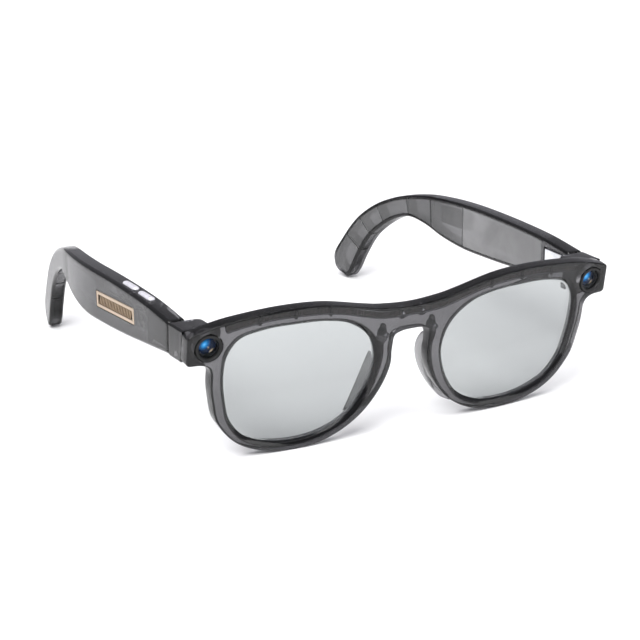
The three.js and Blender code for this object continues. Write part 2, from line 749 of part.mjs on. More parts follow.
// Outer shell with its pocket open towards the head, and a recess for the hinge leaf.
function templeShell() {
  const body = templeSlab(0, earPlace, { chamfer: templeChamfer });
  const pocket = templeSlab(pocketStart, placeAt(earJoint + 2), {
    outer: templeWall, inner: insideOf(-1), top: templeWall, bottom: templeWall,
  });
  const [z0] = knuckleSpan(0);
  const leafDepth = hingeLeafThickness + 0.1 + clearance;
  const recess = box(
    edgeX - templeWidth - 1, edgeX - templeWidth + leafDepth,
    splitDepth - 1, hingeY + rearLeafLength + 0.6, z0 - clearance, hingeTop + 0.7,
  );
  const screwPost = rod(1.2, 0, 1, 18)
    .rotateZ(Math.PI / 2)
    .scale(templeWidth - insideCoverThickness - clearance - 0.5, 1, 1)
    .translate(edgeX - 0.5, screwPlace[0], screwPlace[1]);
  const hole = rod(coverScrewRadius + fineClearance, -3, 3, 12).rotateZ(Math.PI / 2)
    .translate(edgeX - templeWidth, screwPlace[0], screwPlace[1]);
  return cut(fuse(cut(body, pocket, recess), screwPost), hole);
}

// Inner cover that closes the pocket, flush with the temple's inner face.
function templeCover() {
  const cover = templeSlab(placeAt(pocketFront + clearance), placeAt(earJoint - fineClearance), {
    outer: insideOf(insideCoverThickness), top: templeWall + fineClearance,
    bottom: templeWall + fineClearance,
  });
  const hole = rod(coverScrewRadius + fineClearance, -3, 3, 12).rotateZ(Math.PI / 2)
    .translate(edgeX - templeWidth, screwPlace[0], screwPlace[1]);
  return cut(cover, hole);
}

// Screw through the inner cover, its head towards the head of the wearer.
const templeScrew = () =>
  screw(coverScrewRadius, 0.95, -2.6, fineClearance, 0.3)
    .rotateZ(Math.PI / 2)
    .translate(edgeX - templeWidth, screwPlace[0], screwPlace[1]);

// Ear tip: hollowed between its ribs from the inner face, with a tongue into the shell.
const tipRibs = [104, 118.5, 127, 133.5]; // top-edge depths of the ribs across it
const tipPocketEnd = 137.5;

function earTip() {
  const body = templeSlab(placeAt(earJoint + clearance), 1, { chamfer: templeChamfer });
  const tongue = templeSlab(placeAt(earJoint - tongueLength), placeAt(earJoint + 1), {
    outer: templeWall + clearance, inner: insideOf(insideCoverThickness + clearance),
    top: templeWall + clearance, bottom: templeWall + clearance,
  });
  const edges = [earJoint + tipSocket, ...tipRibs, tipPocketEnd];
  const half = tipRibThickness / 2;
  const pockets = edges.slice(1).map((end, i) =>
    templeSlab(placeAt(edges[i] + half), placeAt(end - half), {
      outer: templeWall, inner: insideOf(insideCoverThickness - 0.1), top: templeWall + 0.3,
      bottom: templeWall + 0.3,
    }),
  );
  return cut(fuse(body, tongue), ...pockets, tipRecess(0));
}

// Shallow recess for the ear tip's inner cover, or the cover itself when a gap is taken off.
function tipRecess(gap) {
  const proud = gap ? 0 : -1;
  return templeSlab(placeAt(earJoint + 2 + gap), placeAt(tipPocketEnd + 1.2 - gap), {
    outer: insideOf(insideCoverThickness - gap), inner: insideOf(proud), top: templeWall + gap,
    bottom: templeWall + gap,
  });
}

// ---------------------------------------------------------------- inside the temples

// A box between two depths from the outer face, turned to follow that face.
function inPocket(d0, d1, y0, y1, z0, z1) {
  const half = (y1 - y0) / 2;
  const turn = Math.atan2(outerX(y0) - outerX(y1), 2 * half);
  return box(-d1, -d0, -half, half, z0, z1)
    .rotateZ(turn)
    .translate((outerX(y0) + outerX(y1)) / 2, y0 + half, 0);
}

const componentStart = pocketFront + 1.4;
const postClearance = 1.8; // from the middle of the cover screw's post to the pieces beside it
const componentEnd = earJoint - tongueLength - 0.6;
const batteryRight = () => inPocket(1.5, 4, screwPlace[0] + postClearance, componentEnd, -8, -0.6);
const batteryLeft = () => inPocket(1.5, 3.4, componentStart, screwPlace[0] - postClearance, -8, -0.6);
const mainBoard = () => inPocket(3.7, 4.4, componentStart, screwPlace[0] - postClearance, -8, -3);
const sideBoard = () => inPocket(3.7, 4.4, componentStart, screwPlace[0] - postClearance, -8, -0.6);
const speakerRight = () =>
  speaker(1.4, 3.3, grilleCentre[0] - 10.5, grilleCentre[0] + 10.5, -7.8, -2.9);
const speakerLeft = () => speaker(1.5, 4, screwPlace[0] + 9, componentEnd, -6.2, -0.4);

// Speaker box with a round front plate on its outer side.
function speaker(d0, d1, y0, y1, z0, z1) {
  const radius = (z1 - z0) / 2 - 0.4;
  const middle = (y0 + y1) / 2;
  const cone = rod(radius, 0, 0.35, 20).rotateZ(-Math.PI / 2)
    .translate((outerX(y0) + outerX(y1)) / 2 - d0 - 0.35, middle, (z0 + z1) / 2);
  return fuse(inPocket(d0 + 0.25, d1, y0, y1, z0, z1), cone);
}

// ---------------------------------------------------------------- grille

// Carries an outline drawn about the grille's middle on to the outer face, from depth d0 to d1.
function onOuterFace(outline, d0, d1, holes = []) {
  return new THREE.ExtrudeGeometry(shapeOf(outline, holes), { depth: d1 - d0, bevelEnabled: false })
    .rotateZ(grilleLean)
    .rotateX(Math.PI / 2)
    .rotateZ(Math.PI / 2)
    .translate(edgeX - d1, grilleCentre[0], grilleCentre[1]);
}

const rectangle = (length, height) => {
  const [a, b] = [length / 2, height / 2];
  return flat([[-a, -b], [a, -b], [a, b], [-a, b]]);
};

const meshLength = grilleLength - 2 * grilleBorder;
const meshHeight = grilleHeight - 2 * grilleBorder;

// Takes the grille's seat and its sound opening out of the right shell.
const grilleSeat = () => [
  onOuterFace(rectangle(grilleLength + 2 * fineClearance, grilleHeight + 2 * fineClearance),
    -1, grilleThickness + fineClearance),
  onOuterFace(rectangle(meshLength - 2, meshHeight - 0.8), 0, templeWall + 1),
];

const grilleFrame = () =>
  onOuterFace(rectangle(grilleLength, grilleHeight), 0, grilleThickness,
    [rectangle(meshLength, meshHeight)]);

function grilleMesh() {
  const slots = [];
  const pitch = 2;
  const reach = Math.floor(meshLength / 2 / pitch - 0.5);
  for (let i = -reach; i <= reach; i++)
    slots.push(rectangle(0.9, meshHeight - 1.1).map((p) => new THREE.Vector2(p.x + i * pitch, p.y)));
  const sheet = rectangle(meshLength - 2 * fineClearance, meshHeight - 2 * fineClearance);
  return cut(onOuterFace(sheet, 0.12, 0.42), ...slots.map((slot) => onOuterFace(slot, -1, 1)));
}

// ---------------------------------------------------------------- buttons

// A flat piece with round ends lying along y under the buttons' middle line.
function alongTop(length, width, y, z0, z1) {
  return prism(capsule(length, width), z0, z1)
    .rotateZ(Math.PI / 2)
    .translate(edgeX - buttonInset, y, 0);
}

const buttonSlot = (y) =>
  alongTop(buttonLength + 2 * fineClearance, buttonWidth + 2 * fineClearance, y, -1, topHeight(y) + 2);

function button(y) {
  const top = topHeight(y);
  const under = top - templeWall - clearance;
  const cap = alongTop(buttonLength, buttonWidth, y, under - 0.1, top + buttonProud);
  const flange = alongTop(buttonLength + 2 * flangeBorder, buttonWidth + 2 * flangeBorder, y,
    under - flangeThickness, under);
  return fuse(cap, flange);
}

const switchTop = (y) => topHeight(y) - templeWall - clearance - flangeThickness - buttonTravel - 0.1;
const boardTop = Math.min(...Object.values(buttonPlaces).map(switchTop)) - 1.2;

function pushSwitch(y) {
  const base = inPocket(buttonInset - 0.9, buttonInset + 0.9, y - 1.5, y + 1.5,
    boardTop + fineClearance, switchTop(y) - 0.3);
  const dome = post(0.7, switchTop(y) - 0.4, switchTop(y), 14).translate(edgeX - buttonInset, y, 0);
  return fuse(base, dome);
}

const switchBoard = () =>
  inPocket(buttonInset - 1.3, buttonInset + 1.2, componentStart,
    buttonPlaces.rear + buttonLength / 2 + switchMargin,
    boardTop - 0.5, boardTop);

// ---------------------------------------------------------------- assembly

const glasses = new THREE.Group(); // level-temple frame
const front = new THREE.Group(); // the leaned front
front.rotation.x = tilt;
front.position.z = tiltHeight;
glasses.add(front);

function add(group, name, geometry, material) {
  const mesh = new THREE.Mesh(geometryOf(solid(geometry)), material);
  mesh.name = name;
  group.add(mesh);
}

// Adds a piece drawn for the left side, and its mirror image for the right.
function addPair(group, name, make, material) {
  add(group, name + "_left", make(), material);
  add(group, name + "_right", mirrored(make()), material);
}

add(front, "front_frame", frontFrame(), smoke);
add(front, "brow_flex", browFlex(), copperFlex);
add(front, "brow_cover", browCover(), smokeDark);
addPair(front, "lens", lens, lensTint);
addPair(front, "nose_pad", nosePad, padGrey);
addPair(front, "nose_pad_screw", padScrewPiece, steel);
add(front, "bridge_screw_right", bridgeScrew(bridgeScrews.right), steel);
add(front, "bridge_screw_left", bridgeScrew(bridgeScrews.left), steel);
addPair(front, "camera_bezel", () => atCamera(bezel()), blackMetal);
addPair(front, "camera_window", () => atCamera(cameraWindow()), coatedGlass);
addPair(front, "camera_barrel", () => atCamera(barrel()), blackMetal);
addPair(front, "camera_lens", () => atCamera(cameraLens()), coatedGlass);
addPair(front, "camera_sensor", () => atCamera(sensorBoard()), boardGreen);

addPair(glasses, "end_housing", endHousing, smoke);
addPair(glasses, "hinge_front_leaf", hingeFrontLeaf, steel);
addPair(glasses, "hinge_screw", hingeScrew, steel);
addPair(glasses, "hinge_rear_leaf", hingeRearLeaf, steel);
addPair(glasses, "temple_cover", templeCover, smokeDark);
addPair(glasses, "temple_screw", templeScrew, steel);
addPair(glasses, "ear_tip", earTip, smoke);
addPair(glasses, "ear_tip_cover", () => tipRecess(fineClearance), smokeDark);

add(glasses, "temple_shell_left", templeShell(), smoke);
add(glasses, "battery_left", batteryLeft(), cellGrey);
add(glasses, "side_board_left", sideBoard(), boardGreen);
add(glasses, "speaker_left", speakerLeft(), speakerBlack);

const rightShell = cut(
  templeShell(), ...grilleSeat(), ...Object.values(buttonPlaces).map(buttonSlot),
);
add(glasses, "temple_shell_right", mirrored(rightShell), smoke);
add(glasses, "battery_right", mirrored(batteryRight()), cellGrey);
add(glasses, "main_board_right", mirrored(mainBoard()), boardGreen);
add(glasses, "speaker_right", mirrored(speakerRight()), speakerBlack);
add(glasses, "grille_frame", mirrored(grilleFrame()), gold);
add(glasses, "grille_mesh", mirrored(grilleMesh()), bronze);
add(glasses, "switch_board", mirrored(switchBoard()), boardGreen);
for (const [place, y] of Object.entries(buttonPlaces)) {
  add(glasses, "button_" + place, mirrored(button(y)), silver);
  add(glasses, "button_switch_" + place, mirrored(pushSwitch(y)), speakerBlack);
}

// ---------------------------------------------------------------- standing on rims and ear tips

const group = new THREE.Group();
group.add(glasses);

const boxOf = (...names) => {
  group.updateMatrixWorld(true);
  const bounds = new THREE.Box3();
  for (const name of names) bounds.expandByObject(group.getObjectByName(name), true);
  return bounds;
};

// Pitches the glasses until the rims and the ear tips are level, then sets the origin under them.
const restBase = bottomEdge.getPoint(1).y - lensTop;
for (let i = 0; i < 6; i++)
  glasses.rotation.x -= Math.atan((boxOf("ear_tip_left").min.z - boxOf("front_frame").min.z) / restBase);
const whole = boxOf(...glasses.children.concat(front.children).map((o) => o.name).filter(Boolean));
const middle = whole.getCenter(new THREE.Vector3());
glasses.position.set(-middle.x, -middle.y, -whole.min.z);

export default group;
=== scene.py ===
"""Smart glasses: smooth visible pieces, materials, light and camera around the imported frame.

Pieces are drawn in millimetres in the glasses' level frame: x to the wearer's left, y back along
the temples, z up. The left hinge's place and axis carry them to the row frame. The front is drawn
upright in its own frame and then leaned back by TILT.
"""

import json
import math

import bmesh
import bpy
import numpy as np
from mathutils import Matrix, Vector
from mathutils.geometry import delaunay_2d_cdt


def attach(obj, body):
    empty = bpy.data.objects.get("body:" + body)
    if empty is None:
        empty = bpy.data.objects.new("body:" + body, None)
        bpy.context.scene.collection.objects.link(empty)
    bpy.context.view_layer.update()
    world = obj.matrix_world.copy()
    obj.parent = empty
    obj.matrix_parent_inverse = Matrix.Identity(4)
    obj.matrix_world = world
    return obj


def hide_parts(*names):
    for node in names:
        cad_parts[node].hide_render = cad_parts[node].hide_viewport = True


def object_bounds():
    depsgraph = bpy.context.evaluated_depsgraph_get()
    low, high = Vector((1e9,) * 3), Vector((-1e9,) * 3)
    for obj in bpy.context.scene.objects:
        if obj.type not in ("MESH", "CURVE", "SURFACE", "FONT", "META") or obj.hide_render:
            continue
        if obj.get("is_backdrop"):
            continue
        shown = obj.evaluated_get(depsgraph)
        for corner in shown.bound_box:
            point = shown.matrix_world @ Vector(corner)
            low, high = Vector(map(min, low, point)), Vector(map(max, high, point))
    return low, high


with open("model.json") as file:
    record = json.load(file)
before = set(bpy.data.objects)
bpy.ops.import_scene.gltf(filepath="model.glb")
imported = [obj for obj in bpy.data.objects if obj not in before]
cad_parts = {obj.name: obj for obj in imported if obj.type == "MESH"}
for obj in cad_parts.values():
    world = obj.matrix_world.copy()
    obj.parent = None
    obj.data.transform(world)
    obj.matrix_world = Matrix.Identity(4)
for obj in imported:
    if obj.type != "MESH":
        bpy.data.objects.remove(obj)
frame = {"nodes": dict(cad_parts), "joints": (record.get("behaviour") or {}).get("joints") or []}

CAD_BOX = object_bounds()
MM = 0.001

# ------------------------------------------------------------------ frames

JOINTS = {j["name"]: j for j in frame["joints"]}
FOLD = JOINTS["temple_left_fold"]
PITCH = -math.asin(FOLD["axis"][1])
HINGE = (66.0, 15.6, -4.2)  # the left hinge in the level frame
LEVEL = (
    Matrix.Translation(Vector(FOLD["pos_m"]))
    @ Matrix.Rotation(PITCH, 4, "X")
    @ Matrix.Scale(MM, 4)
    @ Matrix.Translation(-Vector(HINGE))
)
TILT = math.radians(9.5)
DROP = 9.59  # the upright front's origin lies this far below the level frame's
TILTED = Matrix.Translation((0, 0, -DROP)) @ Matrix.Rotation(TILT, 4, "X")

# ------------------------------------------------------------------ dimensions, as the CAD's

LENS_W, LENS_H, BRIDGE, LENS_TOP = 50.4, 40.0, 21.8, 9.3
LENS_IN, LENS_OUT = BRIDGE / 2, BRIDGE / 2 + LENS_W
LENS_LOW = LENS_TOP - LENS_H
THICK, WRAP = 4.0, 0.0007
RIM_LOW, RIM_SIDE, RIM_NOSE = 1.9, 3.3, 4.6
EDGE_X = LENS_OUT + 11.1
END_LOW, CORNER = -0.3, 1.2
CAM_X, CAM_Z = EDGE_X - 6.4, 5.07
PAD_X = LENS_IN - 2.45  # the nose pads' screws
BRIDGE_SCREW_X = 3.4
TEMPLE_W, TIP_W, WALL = 5.7, 4.8, 1.1
FLAT_LENGTH, BEND_END, INWARD = 66.0, 100.0, 0.24
POCKET_Y, EAR_Y = 29.3, 92.0
RIBS = np.array([
    [15.3, 1.05, 15.3, -8.8], [30, 2.55, 30, -10.2], [45, 3.1, 45, -11.6], [60, 3.15, 60, -12.5],
    [75, 2.8, 75, -12.75], [86, 2.25, 86, -11.25], [96.1, 1.34, 94.9, -8.59],
    [104.1, -0.22, 102.4, -7.48], [111.6, -2.72, 108.6, -9.31], [119.5, -6.6, 115.1, -13.13],
    [128.1, -13.13, 122, -19.2], [135.3, -21.97, 127.4, -27.39], [139.6, -29.25, 130.6, -33.37],
    [138.3, -35.17, 133.5, -36.93],
])
GRILLE = (51.3, -4.65)  # y, z
GRILLE_LEAN = math.radians(-3.3)
BUTTONS = {"front": 35.5, "rear": 46.1}
BUTTON_X = 3.1 - EDGE_X

# ------------------------------------------------------------------ curves and outlines


def spline(points, closed=False, centripetal=True, steps=12):
    """Catmull-Rom curve through points, in even parameter steps."""
    p = [np.asarray(q, float) for q in points]
    n = len(p)
    out = []
    for i in range(n if closed else n - 1):
        p1, p2 = p[i], p[(i + 1) % n]
        if closed:
            p0, p3 = p[i - 1], p[(i + 2) % n]
        elif centripetal:
            p0 = p[i - 1] if i else 2 * p1 - p2
            p3 = p[i + 2] if i + 2 < n else 2 * p2 - p1
        else:
            p0, p3 = p[max(i - 1, 0)], p[min(i + 2, n - 1)]
        if centripetal:
            a, b, c = (math.sqrt(np.linalg.norm(u)) for u in (p1 - p0, p2 - p1, p3 - p2))
            t1 = ((p1 - p0) / a - (p2 - p0) / (a + b) + (p2 - p1) / b) * b
            t2 = ((p2 - p1) / b - (p3 - p1) / (b + c) + (p3 - p2) / c) * b
        else:
            t1, t2 = (p2 - p0) / 2, (p3 - p1) / 2
        for k in range(steps):
            t = k / steps
            h = (2 * t**3 - 3 * t**2 + 1, t**3 - 2 * t**2 + t, 3 * t**2 - 2 * t**3, t**3 - t**2)
            out.append(h[0] * p1 + h[1] * t1 + h[2] * p2 + h[3] * t2)
    if not closed:
        out.append(p[-1])
    return np.array(out)


def respaced(line, step, closed=False):
    """The same line with points an even distance apart."""
    q = np.vstack([line, line[:1]]) if closed else line
    s = np.concatenate([[0], np.cumsum(np.linalg.norm(np.diff(q, axis=0), axis=1))])
    count = max(int(round(s[-1] / step)), 3)
    at = np.linspace(0, s[-1], count + 1)
    out = np.stack([np.interp(at, s, q[:, k]) for k in range(q.shape[1])], 1)
    return out[:-1] if closed else out


def outward(loop):
    """Unit vectors that point out of a counter-clockwise loop."""
    d = np.roll(loop, -1, 0) - np.roll(loop, 1, 0)
    d /= np.linalg.norm(d, axis=1)[:, None]
    return np.stack([d[:, 1], -d[:, 0]], 1)


def area(loop):
    x, y = loop[:, 0], loop[:, 1]
    return 0.5 * float(np.sum(x * np.roll(y, -1) - y * np.roll(x, -1)))


def ccw(loop):
    """The loop, run counter-clockwise."""
    return loop if area(loop) > 0 else loop[::-1].copy()


def arc(x, z, r, a, b, n):
    """n steps along a circle about (x, z), between two angles in degrees."""
    t = np.radians(np.linspace(a, b, n + 1))
    return np.stack([x + r * np.cos(t), z + r * np.sin(t)], 1)


def circle(x, z, r, n):
    return arc(x, z, r, 0, 360, n)[:-1]


def corners(centres, r, n=3):
    """A loop of quarter arcs about four centres, counter-clockwise from the first quadrant."""
    return np.vstack([arc(x, z, r, 90 * k, 90 * k + 90, n) for k, (x, z) in enumerate(centres)])


def lens_opening(step=0.7):
    """The left lens's opening, as a loop."""
    shape = [
        [1, 0.22], [0.97, 0.6], [0.82, 0.87], [0.5, 0.98], [0.1, 1], [-0.3, 0.975], [-0.62, 0.87],
        [-0.89, 0.6], [-1, 0.2], [-0.93, -0.26], [-0.7, -0.7], [-0.35, -0.94], [0.04, -1],
        [0.4, -0.94], [0.7, -0.77], [0.89, -0.47], [0.965, -0.12],
    ]
    mid = np.array([(LENS_IN + LENS_OUT) / 2, (LENS_TOP + LENS_LOW) / 2])
    pts = mid + np.array(shape) * [LENS_W / 2, LENS_H / 2]
    return respaced(spline(pts, closed=True, steps=24), step, closed=True)


def rim_edge(loop):
    """The rim's outer edge about the opening, wider at its sides than below."""
    out = outward(loop)
    side = np.where(out[:, 0] > 0, RIM_SIDE, RIM_NOSE)
    return loop + out * (RIM_LOW + (side - RIM_LOW) * out[:, 0] ** 6)[:, None]


def half_outline():
    """The front's outline on one side, from the middle of its top to the middle of the arch."""
    mid, shoulder = [0, LENS_TOP - 0.6], [LENS_IN - 1, LENS_TOP + 0.1]
    over = [[LENS_IN + u * LENS_W, LENS_TOP + up]
            for u, up in ([0.1, 1.15], [0.38, 4], [0.657, 4.45], [0.935, 3.2])]
    tail = [[CAM_X, LENS_TOP + 1.6], [EDGE_X - CORNER, LENS_TOP - 0.05]]
    brow = spline([[-shoulder[0], shoulder[1]], mid, shoulder, *over, *tail],
                  centripetal=False, steps=20)[20:]
    rim = rim_edge(lens_opening(0.5))
    c = (LENS_IN + LENS_OUT) / 2
    keep = np.where(rim[:, 0] > c, rim[:, 1] < END_LOW - 3.4, rim[:, 1] < -5.2)
    low = rim[keep]
    ang = np.arctan2(low[:, 1] - (LENS_TOP + LENS_LOW) / 2, low[:, 0] - c)
    ang = np.where(ang > math.pi / 2, 2 * math.pi - ang, -ang)
    low = low[np.argsort(ang)]
    top = arc(EDGE_X - CORNER, LENS_TOP - 0.05 - CORNER, CORNER, 70, 0, 6)
    foot = arc(EDGE_X - CORNER, END_LOW + CORNER, CORNER, 0, -90, 8)
    a, b = np.array([EDGE_X - 3.2, END_LOW]), np.array([low[0, 0] + 0.5, END_LOW - 0.1])
    e = np.array([low[0, 0] + 0.15, END_LOW - 2.9])
    t = np.linspace(0, 1, 12)[:, None]
    fillet = (1 - t) ** 2 * a + 2 * t * (1 - t) * b + t**2 * e
    flank, top_z = LENS_IN - RIM_NOSE, LENS_TOP - 8.1
    arch = spline([low[-3], low[-1], [flank, top_z - 2.5], [flank - 0.5, top_z - 1.1],
                   [flank - 1.5, top_z - 0.6], [flank / 2, top_z - 0.15], [0, top_z],
                   [-flank / 2, top_z - 0.15]], steps=6)
    arch = arch[12:-6]
    half = np.vstack([brow, top, foot, fillet, low, arch])
    gap = np.linalg.norm(np.diff(half, axis=0), axis=1)
    return half[np.concatenate([[True], gap > 0.05])]


def channel_line():
    """The middle line of the brow channel."""
    half = np.array([
        [LENS_IN - 1.8, LENS_TOP - 2.7], [LENS_IN + 0.1 * LENS_W, LENS_TOP - 1.2],
        [LENS_IN + 0.24 * LENS_W, LENS_TOP + 0.75], [LENS_IN + 0.4 * LENS_W, LENS_TOP + 1.95],
        [LENS_IN + 0.657 * LENS_W, LENS_TOP + 2.3], [LENS_IN + 0.86 * LENS_W, LENS_TOP + 1.3],
        [LENS_OUT - 1.2, LENS_TOP + 0.1]])
    pts = np.vstack([half[::-1] * [-1, 1], [[0, LENS_TOP - 2.9]], half])
    return respaced(spline(pts, centripetal=False, steps=12), 0.7)


def channel_outline(half_width, boss):
    """The brow channel with a round boss at each bridge screw, as one loop."""
    line = channel_line()
    d = np.gradient(line, axis=0)
    d /= np.linalg.norm(d, axis=1)[:, None]
    across = np.stack([-d[:, 1], d[:, 0]], 1)
    away = abs(abs(line[:, 0]) - BRIDGE_SCREW_X)
    w = np.maximum(half_width, np.sqrt(np.maximum(boss**2 - away**2, 0)))
    return ccw(np.vstack([line + across * w[:, None], (line - across * w[:, None])[::-1]]))


# ------------------------------------------------------------------ mesh building


class Solid:
    """Vertices and faces of a piece, each face with the number of its material."""

    def __init__(self):
        self.v, self.f, self.m = [], [], []

    def points(self, pts):
        start = len(self.v)
        self.v.extend(tuple(float(c) for c in p) for p in pts)
        return list(range(start, len(self.v)))

    def face(self, ids, mat=0):
        self.f.append(tuple(ids))
        self.m.append(mat)

    def band(self, a, b, mat=0):
        for i in range(len(a)):
            j = (i + 1) % len(a)
            self.face((a[i], a[j], b[j], b[i]), mat)

    def add(self, other, matrix=None):
        start = len(self.v)
        m = matrix or Matrix.Identity(4)
        self.v.extend(tuple(m @ Vector(p)) for p in other.v)
        for ids, mat in zip(other.f, other.m):
            self.face([start + i for i in ids], mat)
        return self

    def mapped(self, fn):
        self.v = [tuple(map(float, fn(*p))) for p in self.v]
        return self

    def mirrored(self):
        other = Solid()
        other.v = [(-x, y, z) for x, y, z in self.v]
        other.f = [ids[::-1] for ids in self.f]
        other.m = list(self.m)
        return other


def inside(points, loop):
    """Which points lie inside a loop."""
    x, y = points[:, 0][:, None], points[:, 1][:, None]
    x1, y1 = loop[:, 0], loop[:, 1]
    x2, y2 = np.roll(x1, -1), np.roll(y1, -1)
    with np.errstate(divide="ignore", invalid="ignore"):
        hit = ((y1 > y) != (y2 > y)) & (x < (x2 - x1) * (y - y1) / (y2 - y1) + x1)
    return hit.sum(1) % 2 == 1


def cap(solid, loops, ids, place, up, grid):
    """Fills the area inside the first loop and outside the others with triangles."""
    pts = np.vstack(loops)
    known = [i for part in ids for i in part]
    lo, hi = loops[0].min(0), loops[0].max(0)
    gx, gy = np.meshgrid(np.arange(lo[0], hi[0], grid), np.arange(lo[1], hi[1], grid))
    gx[1::2] += grid / 2
    extra = np.stack([gx.ravel(), gy.ravel()], 1)
    extra = extra[inside(extra, loops[0])]
    for hole in loops[1:]:
        extra = extra[~inside(extra, hole)]
    if len(extra):
        far = np.array([np.min(np.sum((pts - e) ** 2, 1)) for e in extra]) > (0.55 * grid) ** 2
        extra = extra[far]
    edges, start = [], 0
    for loop in loops:
        n = len(loop)
        edges += [(start + i, start + (i + 1) % n) for i in range(n)]
        start += n
    every = np.vstack([pts, extra]) if len(extra) else pts
    out = delaunay_2d_cdt([Vector(p) for p in every], edges, [], 0, 1e-7)
    index = {}
    for k, sources in enumerate(out[3]):
        first = [s for s in sources if s < len(known)]
        index[k] = known[first[0]] if first else None
    for k, p in enumerate(out[0]):
        if index[k] is None:
            index[k] = solid.points([place(np.array([[p.x, p.y]]))[0]])[0]
    tri = np.array([[out[0][i][:] for i in f] for f in out[2]])
    mid = tri.mean(1)
    good = inside(mid, loops[0])
    for hole in loops[1:]:
        good &= ~inside(mid, hole)
    for f, ok, t in zip(out[2], good, tri):
        if not ok:
            continue
        a = (t[1, 0] - t[0, 0]) * (t[2, 1] - t[0, 1]) - (t[2, 0] - t[0, 0]) * (t[1, 1] - t[0, 1])
        if abs(a) < 1e-9:
            continue
        g = [index[i] for i in f]
        if len(set(g)) < 3:
            continue
        solid.face(g if (a > 0) == up else g[::-1])


def rounding(r, n):
    """Quarter round from the face (full inset) to the wall: pairs of inset and depth."""
    t = np.linspace(math.pi / 2, 0, n + 1)
    return [(r * (1 - math.cos(a)), r * (1 - math.sin(a))) for a in t]


def wall_profile(y0, y1, r0, r1, n=4):
    """A plate's profile between two depths, with its front and rear edges rounded."""
    front = [(i, y0 + d, 1) for i, d in rounding(r0, n)]
    rear = [(i, y1 - d, 1) for i, d in rounding(r1, n)][::-1]
    front[-1] = (*front[-1][:2], 0)
    return front + rear


def plate(outline, profile, holes=(), pockets=(), grid=1.6):
    """A closed plate over a loop, in coordinates (a, depth, b). Every loop has a profile from front
    to rear of (inset, depth, edge): inset moves it into the material, and edge 1 gives that band
    the second material. A hole's third value is its lean, across for each depth. A pocket is a
    loop sunk from the rear face to a depth."""
    s = Solid()
    front, rear = [], []
    entries = [(ccw(outline), profile, 1, 0.0)] + [
        (ccw(h[0]), h[1], -1, h[2] if len(h) > 2 else 0.0) for h in holes]
    for loop, prof, way, lean in entries:
        out = outward(loop)
        rows = []
        for inset, depth, _ in prof:
            p = loop - out * inset * way
            p = p + [lean * depth, 0]
            rows.append((p, s.points(np.stack([p[:, 0], np.full(len(p), depth), p[:, 1]], 1))))
        for k in range(len(rows) - 1):
            a, b = rows[k][1], rows[k + 1][1]
            mat = prof[k][2]
            s.band(b, a, mat) if way == 1 else s.band(a, b, mat)
        front.append(rows[0])
        rear.append(rows[-1])
    y0, y1 = profile[0][1], profile[-1][1]
    flat = lambda y: (lambda p: np.stack([p[:, 0], np.full(len(p), y), p[:, 1]], 1))
    cap(s, [r[0] for r in front], [r[1] for r in front], flat(y0), True, grid)
    for loop, depth in pockets:
        loop = ccw(loop)
        top = s.points(flat(y1)(loop))
        low = s.points(flat(depth)(loop))
        s.band(top, low, 1)
        rear.append((loop, top))
        cap(s, [loop], [low], flat(depth), False, grid)
    cap(s, [r[0] for r in rear], [r[1] for r in rear], flat(y1), False, grid)
    return s


def lathe(profile, n=64, mats=None, closed=False):
    """Turned about +y: a profile of (radius, y). Radius 0 closes an end; closed joins the ends."""
    s = Solid()
    rings = []
    t = np.linspace(0, 2 * math.pi, n, endpoint=False)
    for r, y in profile:
        if r < 1e-6:
            rings.append(s.points([(0, y, 0)]))
        else:
            rings.append(s.points([(r * math.cos(a), y, r * math.sin(a)) for a in t]))
    for k, (a, b) in enumerate(zip(rings, rings[1:] + (rings[:1] if closed else []))):
        m = mats[k] if mats else 0
        if len(a) == 1 and len(b) == 1:
            continue
        for i in range(n):
            j = (i + 1) % n
            if len(a) == 1:
                s.face((a[0], b[i], b[j]), m)
            elif len(b) == 1:
                s.face((a[i], b[0], a[j]), m)
            else:
                s.face((a[i], b[i], b[j], a[j]), m)
    return s


def loft(sections, mats=None):
    """Closed solid through sections, each a loop of the same number of points."""
    s = Solid()
    rings = [s.points(sec) for sec in sections]
    n = len(rings[0])
    for a, b in zip(rings, rings[1:]):
        for i in range(n):
            j = (i + 1) % n
            s.face((a[i], b[i], b[j], a[j]), mats[i] if mats else 0)
    s.face(rings[0])
    s.face(rings[-1][::-1])
    return s


def faces_out(mesh):
    bm = bmesh.new()
    bm.from_mesh(mesh)
    bmesh.ops.recalc_face_normals(bm, faces=bm.faces)
    bm.to_mesh(mesh)
    bm.free()


SHARP = 38  # degrees; edges that turn more stay crisp


def row_mesh(name, solid):
    """The solid's mesh, in the row frame."""
    m = np.array(LEVEL)
    v = np.array(solid.v, float) @ m[:3, :3].T + m[:3, 3]
    mesh = bpy.data.meshes.new(name)
    mesh.from_pydata([tuple(p) for p in v], [], solid.f)
    return mesh


def linked(name, data):
    """A new object in the scene."""
    o = bpy.data.objects.new(name, data)
    bpy.context.scene.collection.objects.link(o)
    return o


def finish_piece(name, solid, mats, body, slot, nodes=(), sharp=SHARP, fix=True, own=None):
    """Makes the object, rides it on its body and hides what it replaces."""
    mesh = row_mesh(name, solid)
    mesh.polygons.foreach_set("material_index", np.array(solid.m, np.int32))
    mesh.update()
    if own is not None:
        place_of = mesh.attributes.new("own_place", "FLOAT_VECTOR", "POINT")
        place_of.data.foreach_set("vector", np.array(own, np.float32).ravel())
    if fix:
        faces_out(mesh)
    o = linked(name, mesh)
    for material in mats:
        mesh.materials.append(material)
    mesh.shade_smooth()
    mesh.set_sharp_from_angle(angle=math.radians(sharp))
    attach(o, body)
    if nodes:
        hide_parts(*nodes)
    return o


def cutter(solid):
    mesh = row_mesh("cutter", solid)
    faces_out(mesh)
    return linked("cutter", mesh)


